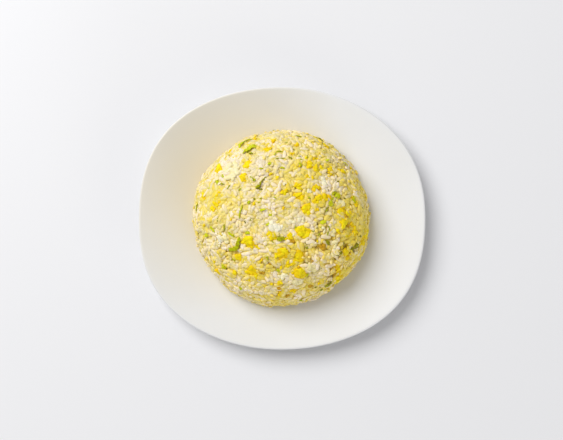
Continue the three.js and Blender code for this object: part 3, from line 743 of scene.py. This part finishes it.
def on_sphere(bearing, turn):
    """Unit directions for places of the dome, keeping their share of the way down."""
    down = np.interp(turn, TURNS, LENGTHS / LENGTHS[-1]) * math.pi / 2
    return np.stack([np.sin(down) * np.cos(bearing), np.sin(down) * np.sin(bearing), np.cos(down)], -1)


def push_apart(ball_a, ball_b, touch):
    """How far each ball of a is pushed by the balls of b, and what b's balls get back."""
    apart = ball_a[:, :, None] - ball_b[:, None, :]
    distance = np.linalg.norm(apart, axis=-1, keepdims=True) + 1e-9
    push = apart / distance * np.maximum(touch - distance, 0) / 2
    return push.sum(2), -push.sum(1)


def pack_layer(count, ball_radius, rounds, blocks, block_radii, draw):
    """Bearing, turn and spin of grains that touch and overlap a little."""
    centre = on_sphere(*anywhere(count, draw))
    along = unit(np.cross(centre, draw.normal(size=(count, 3))))
    for step in range(rounds):
        if step % RECOUNT == 0:
            gap = np.linalg.norm(centre[:, None] - centre[None], axis=-1) * SPHERE
            first, second = np.nonzero(np.triu(gap < GRAIN_LENGTH + 1, 1))
            far = np.linalg.norm(centre[:, None] - blocks[None], axis=-1) * SPHERE
            grain, block = np.nonzero(far < block_radii + GRAIN_LENGTH)
        balls = centre[:, None] * SPHERE + BALLS[:, None] * along[:, None]
        moved = np.zeros_like(balls)
        push, back = push_apart(balls[first], balls[second], 2 * ball_radius)
        np.add.at(moved, first, push)
        np.add.at(moved, second, back)
        touch = (ball_radius + block_radii[block])[:, None, None, None]
        push, _ = push_apart(balls[grain], blocks[block][:, None] * SPHERE, touch)
        np.add.at(moved, grain, 2 * push)
        twist = (moved * BALLS[:, None]).sum(1) / (BALLS**2).sum()
        centre = unit(centre + MOVE_SHARE * moved.mean(1) / SPHERE)
        centre[:, 2] = np.maximum(centre[:, 2], LOWEST)
        centre = unit(centre)
        along = along + TURN_SHARE * twist
        along = unit(along - centre * (along * centre).sum(1, keepdims=True))
    down = np.arccos(centre[:, 2].clip(0, 1)) / (math.pi / 2)
    bearing = np.arctan2(centre[:, 1], centre[:, 0])
    turn = np.interp(down * LENGTHS[-1], LENGTHS, TURNS)
    level = np.stack([-np.sin(bearing), np.cos(bearing), 0 * bearing], -1)
    spin = np.arctan2((along * level).sum(1), (along * np.cross(level, centre)).sum(1))
    left = np.linalg.norm(moved, axis=-1).mean()
    print(f"{count} grains packed in {rounds} rounds, mean push left {left:.2f} mm")
    return bearing, turn, spin


# %% Pack the layers
BLOCK_SHARE, DEEP_BLOCK_SHARE = 0.4, 0.7  # of a lump's width as seen, and of that under the skin
blocks = np.concatenate([on_sphere(*clumps[:2]) for clumps in (curd_clumps, white_clumps)])
block_radii = np.concatenate([clumps[2][:, 1] for clumps in (curd_clumps, white_clumps)]) * BLOCK_SHARE
deep_radii = block_radii * DEEP_BLOCK_SHARE
OUTER_BALL, OUTER_ROUNDS = 1.2, 28
INNER_BALL, INNER_ROUNDS = 1.35, 20
outer = pack_layer(GRAINS_IN_LAYER, OUTER_BALL, OUTER_ROUNDS, blocks, block_radii, rng)
inner = pack_layer(GRAINS_IN_LAYER, INNER_BALL, INNER_ROUNDS, blocks, deep_radii, rng)

# %% [markdown]
# Each grain is bent out of six rings of eight points, with its own length, girth, bend and dents: a
# subdivided mesh would be smoother, but at a grain's size nobody sees it, and there are thousands.
# Stirring breaks some grains, so about one in ten is short.

# %% Shape the grains
GRAIN_RINGS, GRAIN_COLUMNS = 6, 8
GRAIN_BLUNTNESS = 0.72
LENGTH_SPREAD, LENGTH_LIMITS = 0.8, (5.5, 9.6)
WIDTH_SPREAD, WIDTH_LIMITS = 0.32, (2.7, 4.2)
TAPER, BEND_SPREAD, DENT_SPREAD = 0.14, 0.28, 0.03
BROKEN_SHARE, BROKEN_LENGTH = 0.1, 0.6


def blank(rings, columns, bluntness):
    """A rounded rod from -1 to 1 along X, radius 1 in the middle: tip, rings, tip."""
    turn = np.linspace(0, math.pi, rings + 2)[1:-1]
    girth = np.sin(turn) ** bluntness
    angle = np.arange(columns) / columns * 2 * math.pi
    x = np.repeat(-np.cos(turn), columns)
    y = np.outer(girth, np.cos(angle)).ravel()
    z = np.outer(girth, np.sin(angle)).ravel()
    body = np.stack([x, y, z], 1)
    return np.concatenate([[[-1, 0, 0]], body, [[1, 0, 0]]])


def shape_grains(count, draw):
    """Grains along X, each with its own size, taper, bend and dents, in mm."""
    base = np.repeat(blank(GRAIN_RINGS, GRAIN_COLUMNS, GRAIN_BLUNTNESS)[None], count, 0)
    length = draw.normal(GRAIN_LENGTH, LENGTH_SPREAD, (count, 1)).clip(*LENGTH_LIMITS)
    length *= np.where(draw.uniform(size=(count, 1)) < BROKEN_SHARE, BROKEN_LENGTH, 1)
    width = draw.normal(GRAIN_WIDTH, WIDTH_SPREAD, (count, 1)).clip(*WIDTH_LIMITS)
    fuller = draw.uniform(-TAPER, TAPER, (count, 1))
    bend = draw.normal(0, BEND_SPREAD, (count, 1))
    dents = 1 + draw.normal(0, DENT_SPREAD, base.shape[:2])
    x = base[..., 0] * length / 2
    girth = (1 + fuller * base[..., 0]) * dents
    y = base[..., 1] * girth * width / 2 + bend * (base[..., 0] ** 2 - 0.4)
    z = base[..., 2] * girth * width * GRAIN_THICKNESS / GRAIN_WIDTH / 2
    return np.stack([x, y, z], -1)


# %% [markdown]
# Each layer goes onto the skin a little uneven, as pressed rice is: less where it was pressed tight,
# more where it lies loose. A modifier could jitter all grains alike, but here the lists decide how
# much. Each point of a grain also keeps its depth, which the material uses for painted shade: the
# deeper a point lies, the yellower and darker it is painted.

# %% Lay the grains
LOOSENESS, TIGHTEST, LOOSEST_TILT = 1.3, -0.6, 1.5


def depth_in_skin(shapes, bearing, turn):
    """How deep, in mm, each point of shapes laid at these places lies under the dome's surface."""
    surface, normal = dome(bearing, turn)
    return ((surface[:, None] - shapes) * normal[:, None]).sum(-1)


def lay_grains(layer, depth, unevenness, tilt, draw):
    """Shaped grains of one layer, a little out of line, and how deep each point lies in the skin."""
    bearing, turn, spin = layer
    count = len(bearing)
    loose = 1 + LOOSENESS * patches(LOOSE_PATCHES, dome(bearing, turn)[0]).clip(TIGHTEST)
    sunk = GRAIN_THICKNESS / 2 + depth * loose + draw.normal(0, unevenness * loose)
    tilts = draw.normal(0, tilt * np.minimum(loose, LOOSEST_TILT), count)
    frames = skin_frames(bearing, turn, sunk, spin, tilts)
    shapes = laid(shape_grains(count, draw), *frames)
    return shapes, depth_in_skin(shapes, bearing, turn)


layers = [
    lay_grains(outer, depth=0, unevenness=0.2, tilt=0.18, draw=rng),
    lay_grains(inner, depth=0.5, unevenness=0.3, tilt=0.3, draw=rng),
]
grains, depths = (np.concatenate(parts) for parts in zip(*layers))
print(f"{len(grains)} grains lie from {depths.min():.1f} to {depths.max():.1f} mm deep in the skin")

# %% [markdown]
# Egg coats the grains unevenly: more of it near the curds and in some patches. The inner layer,
# which shows only in the gaps, gets more egg as well: in part egg that ran down, in part painted
# warm shade there. Half of the grains, the eggier ones, are one piece and the rest the other, so
# each has its own material, and two values on every grain carry the finer steps.

# %% Colour the grains and make their two pieces
EGG_WAVES, EGG_IN_PATCHES, EGG_BY_CURDS, INNER_EGG_AND_SHADE = 0.32, 1.3, 0.4, 0.2
EGG_CHANCE, EGG_LESS = (4, 4.6), 0.1  # the two powers of a beta draw, and what is taken off
CURD_SMEAR = 2  # mm round a lump
TINT_WAVES = [(0.3, 0.8), (0.25, 0.45), (0.4, 0.27)]  # share, and waves in radians per mm
TINT_SPREAD, TINT_IN_PATCHES = 0.15, 0.5
middles = grains.mean(1)
curd_places, _ = dome(*curd_clumps[:2])
apart = np.linalg.norm(middles[:, None] - curd_places[None], axis=-1)
by_curds = np.exp(-((apart / (CURD_SMEAR + curd_clumps[2][:, 1] / 2)) ** 2)).max(1)
patchiness = EGG_WAVES * waves(middles, 0.8, rng) + EGG_IN_PATCHES * patches(EGGY_PATCHES, middles)
egginess = rng.beta(*EGG_CHANCE, len(grains)) + patchiness + EGG_BY_CURDS * by_curds - EGG_LESS
# The inner layer shows in the gaps, and its extra egg is in part painted warm shade there.
egginess[len(outer[0]):] += INNER_EGG_AND_SHADE
is_coated = egginess > np.median(egginess)
tints = 0.5 + rng.normal(0, TINT_SPREAD, len(grains))
for share, frequency in TINT_WAVES:
    tints += share * waves(middles, frequency, rng)
tints += TINT_IN_PATCHES * patches(EGGY_PATCHES, middles)
values = {"tint": tints.clip(0, 1), "egg": egginess.clip(0, 1), "depth": depths}


def rice_piece(name, chosen):
    """The chosen grains as one piece that takes the place of the solid heap."""
    chosen_values = {key: value[chosen] for key, value in values.items()}
    piece = joined(name, grains[chosen], GRAIN_RINGS, GRAIN_COLUMNS, chosen_values)
    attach(piece, "root")
    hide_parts("rice_heap")
    return piece


rice_plain = rice_piece("rice_grains_plain", ~is_coated)
rice_coated = rice_piece("rice_grains_egg_coated", is_coated)

# %% [markdown]
# ## Rice materials
# Cooked rice lets light in, so it glows a little from inside, and oil gives it a faint wet shine.
# Plain grains are ivory with a trace of egg; coated ones are pale yellow where the yolk has set on
# them. Every grain is also painted yellower and darker lower down: painted shade for the gaps.
# One flat colour would make plastic of it, so the film's cover changes inside each grain too.


# %% Material of the grains
def make_rice(name, pale, deep, egg, amount):
    material, tree, bsdf = new_material(name, {
        "Roughness": 0.5, "Specular IOR Level": 0.3, "Coat Weight": 0.05, "Coat Roughness": 0.2, "IOR": 1.4,
        "Subsurface Weight": 0.3, "Subsurface Radius": (1.0, 0.95, 0.8), "Subsurface Scale": 0.0008,
    })
    tint = add(tree, "ShaderNodeAttribute", attribute_name="tint")
    coated = add(tree, "ShaderNodeAttribute", attribute_name="egg")
    body = add(tree, "ShaderNodeMix", data_type="RGBA")
    body.inputs["A"].default_value, body.inputs["B"].default_value = pale, deep
    depth = add(tree, "ShaderNodeAttribute", attribute_name="depth")
    # The deeper a point lies, the more of the darker egg colour it takes: painted shade between the grains.
    gap_shade = add(tree, "ShaderNodeMapRange", From_Min=0.4, From_Max=2.0, To_Max=0.35)
    total = add(tree, "ShaderNodeMath", operation="MULTIPLY_ADD")
    total.inputs[1].default_value = amount
    film = add(tree, "ShaderNodeGroup", node_tree=egg_film, Egg=egg, Patch_Scale=420)
    bumps = add(tree, "ShaderNodeGroup", node_tree=fine_bumps, Scale=1100, Strength=0.15, Distance=0.0002)
    link = tree.links.new
    link(tint.outputs["Fac"], body.inputs["Factor"])
    link(body.outputs["Result"], film.inputs["Under"])
    link(coated.outputs["Fac"], total.inputs[0])
    link(depth.outputs["Fac"], gap_shade.inputs["Value"])
    link(gap_shade.outputs["Result"], total.inputs[2])
    link(total.outputs["Value"], film.inputs["Amount"])
    link(film.outputs["Color"], bsdf.inputs["Base Color"])
    link(bumps.outputs["Normal"], bsdf.inputs["Normal"])
    return material


plain = make_rice("rice_plain", srgb(254, 235, 210), srgb(234, 216, 156), srgb(243, 222, 84), 0.6)
coated = make_rice("rice_egg_coated", srgb(255, 234, 182), srgb(232, 210, 106), srgb(244, 216, 42), 0.55)
rice_plain.data.materials.append(plain)
rice_coated.data.materials.append(coated)

# %% [markdown]
# ## The core
# Under the grains is packed rice and egg. Tens of thousands more grains could fill it, but it only
# shows in the gaps, as yellow shade. So it is one skin: the dome sunk by about 1 mm, deeper where
# the rice is loose, with lumps smaller than a grain. Its first tip is on top, so its columns go
# round clockwise, for faces that look outwards.

# %% Core mesh and material
CORE_DEPTH, LEAST_CORE_DEPTH, LOOSE_CORE_DEPTH = 1.0, 0.8, 3
CORE_RINGS, CORE_COLUMNS = 180, 400
CORE_TOP_TURN = 0.02
CORE_LUMPS = [(0.35, 2.2), (0.15, 5)]  # depth in mm, waves in radians per mm
CORE_CLEAR_OF_PLATE = 0.3
core_bearing = np.tile(-np.arange(CORE_COLUMNS) / CORE_COLUMNS * 2 * math.pi, CORE_RINGS)
core_turn = np.repeat(np.linspace(CORE_TOP_TURN, math.pi / 2, CORE_RINGS), CORE_COLUMNS)
core_points, core_normals = dome(core_bearing, core_turn)
sunk = np.maximum(CORE_DEPTH + LOOSE_CORE_DEPTH * patches(LOOSE_PATCHES, core_points), LEAST_CORE_DEPTH)
for depth, frequency in CORE_LUMPS:
    sunk += depth * waves(core_points, frequency, rng)
core_points -= core_normals * sunk[:, None]
floor_level = plate_top(core_points[:, 0], core_points[:, 1]) + CORE_CLEAR_OF_PLATE
core_points[:, 2] = np.maximum(core_points[:, 2], floor_level)
core_top = np.array([[*DOME_CENTRE, DOME_TOP - CORE_DEPTH]])
core_base = np.array([[*DOME_CENTRE, plate_top(*DOME_CENTRE) + CORE_CLEAR_OF_PLATE]])
core_shape = np.concatenate([core_top, core_points, core_base])
core = joined("rice_core", core_shape[None], CORE_RINGS, CORE_COLUMNS, {})
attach(core, "root")
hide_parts("rice_heap")


def make_core():
    material, tree, bsdf = new_material("packed_rice", {
        "Roughness": 0.6,
        "Subsurface Weight": 0.3, "Subsurface Radius": (1.0, 0.7, 0.3), "Subsurface Scale": 0.002,
    })
    # Its colours are a darker yellow than the grains': packed egg, and painted shade for the gaps.
    film = add(tree, "ShaderNodeGroup", node_tree=egg_film, Amount=0.45, Patch_Scale=380)
    film.inputs["Under"].default_value = srgb(242, 222, 136)
    film.inputs["Egg"].default_value = srgb(222, 198, 76)
    bumps = add(tree, "ShaderNodeGroup", node_tree=fine_bumps, Scale=500, Strength=0.6, Distance=0.0006)
    tree.links.new(film.outputs["Color"], bsdf.inputs["Base Color"])
    tree.links.new(bumps.outputs["Normal"], bsdf.inputs["Normal"])
    return material


core.data.materials.append(make_core())

# %% [markdown]
# ## Egg curds and whites
# Scrambled curds are lumpy, torn and a little flattened, in clear yellow, painted deeper in colour
# lower down as painted shade; some are browner, in part egg that touched the pan, in part painted
# shade. Whites are paler and smoother. A displace modifier could roughen one lump, but waves
# worked out on the points give each of the hundreds its own shape. Both kinds are rounded blanks
# pushed about by waves of three sizes.

# %% Curds, crumbs and whites
CURD_RINGS, CURD_COLUMNS = 11, 14
TEARS = [(1, 2.2), (0.6, 5), (0.25, 9)]  # share of the lumpiness, and how fine
LUMP_TILT, LUMP_UNEVENNESS = 0.2, 0.25


def lump_shapes(sizes, lumpiness, draw):
    """Lumps of these lengths, widths and thicknesses in mm."""
    base = blank(CURD_RINGS, CURD_COLUMNS, 1.0)
    shapes = []
    for length, width, thickness in sizes:
        swell = 1 + lumpiness * sum(share * waves(base, frequency, draw) for share, frequency in TEARS)
        shapes.append(base * swell[:, None] * np.array([length, width, thickness]) / 2)
    return np.array(shapes)


def lay_lumps(bearing, turn, sizes, proud, lumpiness, draw):
    """Lumps pressed into the skin, with their tops standing proud of it by some mm, and their depths."""
    count = len(bearing)
    spin, tilt = draw.uniform(0, 2 * math.pi, count), draw.normal(0, LUMP_TILT, count)
    sunk = sizes[:, 2] / 2 - proud + draw.normal(0, LUMP_UNEVENNESS, count)
    shapes = laid(lump_shapes(sizes, lumpiness, draw), *skin_frames(bearing, turn, sunk, spin, tilt))
    return shapes, depth_in_skin(shapes, bearing, turn)


*clumps, owner = curd_clumps
curds, curd_depths = lay_lumps(*clumps, proud=0.2, lumpiness=0.4, draw=rng)
CRUMBS = 30
CRUMB_LENGTHS, CRUMB_WIDTHS, CRUMB_FLATNESS = (1.4, 3.6), (0.6, 0.9), 0.7  # the last two as shares
crumb_length = rng.uniform(*CRUMB_LENGTHS, CRUMBS)
crumb_width = crumb_length * rng.uniform(*CRUMB_WIDTHS, CRUMBS)
crumb_sizes = np.stack([crumb_length, crumb_width, crumb_length * CRUMB_FLATNESS], 1)
crumbs, crumb_depths = lay_lumps(*anywhere(CRUMBS, rng), crumb_sizes, proud=0.6, lumpiness=0.3, draw=rng)
curd_shapes = np.concatenate([curds, crumbs])
# Each curd has its own tone, and is painted deeper in colour the further down a point of it lies: painted
# shade on its lower sides.
TONE, TONE_SPREAD, SHADE_PER_MM = 0.65, 0.3, 0.4
tone_and_shade = TONE_SPREAD * rng.uniform(-1, 1, (len(curd_shapes), 1)) + TONE
tone_and_shade = tone_and_shade + SHADE_PER_MM * np.concatenate([curd_depths, crumb_depths])
# Curds of the second list take the browner colour: in part browned egg, in part painted shade.
browned_and_shaded = np.concatenate([owner >= len(CURDS), np.zeros(CRUMBS)])
curd_values = {"tint": tone_and_shade, "browned_and_shaded": browned_and_shaded}
egg_curds = joined("egg_curds", curd_shapes, CURD_RINGS, CURD_COLUMNS, curd_values)
*clumps, owner = white_clumps
white_shapes, _ = lay_lumps(*clumps, proud=0.9, lumpiness=0.2, draw=rng)
creaminess = np.array(WHITES)[owner, 5]
egg_whites = joined("egg_whites", white_shapes, CURD_RINGS, CURD_COLUMNS, {"tint": creaminess})

# %% [markdown]
# Yolk is a strong yellow that lets a little light in, and set white is the colour of cream. Painted
# images could vary them, but the film of egg from before does it as well: its amount is each lump's
# own tone, and on curds also painted shade, deeper lower down. A browner colour is mixed in for
# egg that has caught on the pan, and in part it is painted shade.


# %% Materials of the egg
def make_egg(name, light, dark, roughness, glow):
    material, tree, bsdf = new_material(name, {
        "Roughness": roughness, "Specular IOR Level": 0.2,
        "Subsurface Weight": glow, "Subsurface Radius": (1.0, 0.8, 0.5), "Subsurface Scale": 0.001,
    })
    tint = add(tree, "ShaderNodeAttribute", attribute_name="tint")
    film = add(tree, "ShaderNodeGroup", node_tree=egg_film, Under=light, Egg=dark, Patch_Scale=330)
    bumps = add(tree, "ShaderNodeGroup", node_tree=fine_bumps, Scale=900, Strength=0.5, Distance=0.001)
    darker_share = add(tree, "ShaderNodeAttribute", attribute_name="browned_and_shaded")
    # The browner colour is in part browned egg, in part painted shade.
    toned = add(tree, "ShaderNodeMix", data_type="RGBA")
    toned.inputs["B"].default_value = srgb(204, 158, 28)
    tree.links.new(tint.outputs["Fac"], film.inputs["Amount"])
    tree.links.new(darker_share.outputs["Fac"], toned.inputs["Factor"])
    tree.links.new(film.outputs["Color"], toned.inputs["A"])
    tree.links.new(toned.outputs["Result"], bsdf.inputs["Base Color"])
    tree.links.new(bumps.outputs["Normal"], bsdf.inputs["Normal"])
    return material


yolk = make_egg("yolk_curd", srgb(254, 232, 11), srgb(246, 202, 0), roughness=0.65, glow=0.2)
white = make_egg("set_white", srgb(251, 244, 215), srgb(243, 229, 165), roughness=0.6, glow=0.1)
egg_curds.data.materials.append(yolk)
egg_whites.data.materials.append(white)
for piece in (egg_curds, egg_whites):
    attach(piece, "root")

# %% [markdown]
# ## Scallion
# Scallion is cut across into rings, which break into curved bits of thin wall: dark green outside
# the leaf, yellow-green towards the stem. A curve with a bevel could be such a bit, but its edge
# would be smooth. So each bit is a short wall swept round part of a circle, ragged at both edges,
# and the wide ones lie flat on the rice.

# %% Scallion bits and specks
LEAF_RINGS, LEAF_COLUMNS = 11, 8
LEAF_WALL, LEAF_SWELL = 0.8, 1.05
LEAF_TAPER, LEAF_TAPER_POWER = 0.65, 2.5
LEAF_RAGGEDNESS, LEAF_EDGE_LIMITS, LEAF_WOBBLE = 0.3, (0.3, 1.6), 0.12
LEAF_CORNERS = 0.6  # 1 is a round section, 0 a square one


def leaf_shape(length, height, bend, wall, draw):
    """A bit of ring wall: swept along an arc, its section a flat rounded strip."""
    share = np.linspace(-1, 1, LEAF_RINGS)
    angle = share * length / 2 / bend
    taper = 1 - LEAF_TAPER * np.abs(share) ** LEAF_TAPER_POWER
    around = (np.arange(LEAF_COLUMNS) + 0.5) / LEAF_COLUMNS * 2 * math.pi
    sides = np.array([np.sin(around) > 0, np.sin(around) <= 0])
    edge = 1 + LEAF_RAGGEDNESS * draw.normal(size=(LEAF_RINGS, 2)) @ sides
    thick = np.sign(np.cos(around)) * np.abs(np.cos(around)) ** LEAF_CORNERS * wall / 2
    tall = np.sign(np.sin(around)) * np.abs(np.sin(around)) ** LEAF_CORNERS * height / 2
    radius = bend + thick[None] * taper[:, None]
    x = radius * np.sin(angle)[:, None]
    y = bend - radius * np.cos(angle)[:, None]
    z = tall[None] * taper[:, None] * edge.clip(*LEAF_EDGE_LIMITS)
    body = np.stack([x, -y, z], -1) + draw.normal(0, LEAF_WOBBLE, (LEAF_RINGS, 1, 3))
    ends = [body[0].mean(0), body[-1].mean(0)]
    return np.concatenate([ends[:1], body.reshape(-1, 3), ends[1:]])


leaf_rows = np.array(SCALLIONS)
leaf_length, leaf_width, leaf_bend, leaf_turn, leaf_darkness = leaf_rows[:, 2:].T
leaf_sizes = zip(leaf_length * LEAF_SWELL, leaf_width, leaf_bend)
leaf_shapes = np.array([leaf_shape(*sizes, LEAF_WALL, rng) for sizes in leaf_sizes])
# A bit is rolled over by chance, in radians, and one that looks wide lies all but flat.
lying = np.maximum(rng.uniform(0.8, 1.3, len(leaf_rows)), np.interp(leaf_width, [2.2, 3.4], [0.8, 1.45]))
rolled = leaf_shapes.copy()
rolled[..., 1] = leaf_shapes[..., 1] * np.cos(lying)[:, None] - leaf_shapes[..., 2] * np.sin(lying)[:, None]
rolled[..., 2] = leaf_shapes[..., 1] * np.sin(lying)[:, None] + leaf_shapes[..., 2] * np.cos(lying)[:, None]
leaf_angles = found_on_dome(SCALLIONS)
leaf_spin = np.radians(leaf_turn) - leaf_angles[:, 0]
# Narrow and short bits have sunk between the grains, and wide and long ones lie on top, in mm.
leaf_depth = np.interp(leaf_width, [1, 2, 3.4], [0.3, 0.1, -0.7])
leaf_depth += np.interp(leaf_length, [2.5, 5], [0.5, -0.4])
leaves = laid(rolled, *skin_frames(*leaf_angles.T, leaf_depth, leaf_spin, 0 * leaf_spin))
SPECKS = 12
SMALLEST_SPECK, LARGEST_SPECK = (1.4, 0.9, 1.5), (3.2, 1.9, 5)  # length, height, bend
speck_shapes = np.array([
    leaf_shape(*rng.uniform(SMALLEST_SPECK, LARGEST_SPECK), LEAF_WALL, rng) for _ in range(SPECKS)])
speck_angles = anywhere(SPECKS, rng)
speck_depth = rng.uniform(-0.1, 0.6, SPECKS)
speck_spin = rng.uniform(0, 6.28, SPECKS)
speck_tilt = rng.normal(0, 0.5, SPECKS)
specks = laid(speck_shapes, *skin_frames(*speck_angles, speck_depth, speck_spin, speck_tilt))
darkness = np.concatenate([leaf_darkness, rng.beta(1.2, 1.8, SPECKS)])
all_bits = np.concatenate([leaves, specks])
scallion = joined("scallion_bits", all_bits, LEAF_RINGS, LEAF_COLUMNS, {"dark": darkness})
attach(scallion, "root")

# %% [markdown]
# Scallion runs from yellow-green near the stem to a dull dark green at the leaf's tip. It could take
# three materials, but one with a colour ramp has every step between: each bit's own darkness picks
# a place on the ramp, and a wandering value shifts it inside the bit.


# %% Material of the scallion
def make_scallion():
    material, tree, bsdf = new_material("scallion_leaf", {
        "Roughness": 0.5, "Specular IOR Level": 0.06,
        "Subsurface Weight": 0.15, "Subsurface Radius": (0.4, 1.0, 0.1), "Subsurface Scale": 0.001,
    })
    dark = add(tree, "ShaderNodeAttribute", attribute_name="dark")
    vary = add(tree, "ShaderNodeGroup", node_tree=wander, Scale=500, Low=-0.3, High=0.25)
    total = add(tree, "ShaderNodeMath", operation="ADD", use_clamp=True)
    ramp = add(tree, "ShaderNodeValToRGB")
    ramp.color_ramp.elements[0].color = srgb(210, 212, 38)
    ramp.color_ramp.elements[1].color = srgb(132, 120, 24)
    ramp.color_ramp.elements.new(0.4).color = srgb(184, 188, 12)
    link = tree.links.new
    link(dark.outputs["Fac"], total.inputs[0])
    link(vary.outputs["Value"], total.inputs[1])
    link(total.outputs["Value"], ramp.inputs["Fac"])
    link(ramp.outputs["Color"], bsdf.inputs["Base Color"])
    return material


scallion.data.materials.append(make_scallion())

# %% [markdown]
# ## Table and light
# A pale table, a large round soft light high on the upper left, a weak low one across from it, as a
# pale wall gives back, and a bright even sky for fill. One picture of a whole room could light it as
# well, but three plain lights are easy to turn until the dome's shadow falls where it should.


# %% Floor, lights and sky
TABLE_HALF, TABLE_DROP = 3, 0.0002  # metres; the drop keeps it clear of the face of the foot


def make_floor():
    mesh = bpy.data.meshes.new("table")
    corners = [(x * TABLE_HALF, y * TABLE_HALF, 0) for x, y in ((-1, -1), (1, -1), (1, 1), (-1, 1))]
    mesh.from_pydata(corners, [], [(0, 1, 2, 3)])
    floor = bpy.data.objects.new("table", mesh)
    floor.location.z = -TABLE_DROP
    bpy.context.scene.collection.objects.link(floor)
    material, _, _ = new_material("pale_table", {"Roughness": 0.45, "Base Color": srgb(238, 238, 240)})
    mesh.materials.append(material)


def make_light(name, azimuth, elevation, distance, width, height, power):
    """A soft elliptical light that faces the origin: angles in degrees, sizes in metres, watts."""
    data = bpy.data.lights.new(name, "AREA")
    data.shape, data.size, data.size_y, data.energy = "ELLIPSE", width, height, power
    light = bpy.data.objects.new(name, data)
    a, e = math.radians(azimuth), math.radians(elevation)
    direction = Vector((math.cos(a) * math.cos(e), math.sin(a) * math.cos(e), math.sin(e)))
    light.location = direction * distance
    light.rotation_euler = light.location.to_track_quat("Z", "Y").to_euler()
    bpy.context.scene.collection.objects.link(light)


make_floor()
make_light("window", azimuth=136, elevation=49, distance=3, width=2.12, height=2.12, power=72)
make_light("far_wall", azimuth=305, elevation=11, distance=2.2, width=1.8, height=0.6, power=13)
world = bpy.data.worlds.new("sky")
bpy.context.scene.world = world
world.use_nodes = True
sky = world.node_tree.nodes["Background"]
sky.inputs["Color"].default_value = (0.995, 0.995, 1.0, 1)
sky.inputs["Strength"].default_value = 0.4
bpy.context.scene.view_settings.view_transform = "Standard"
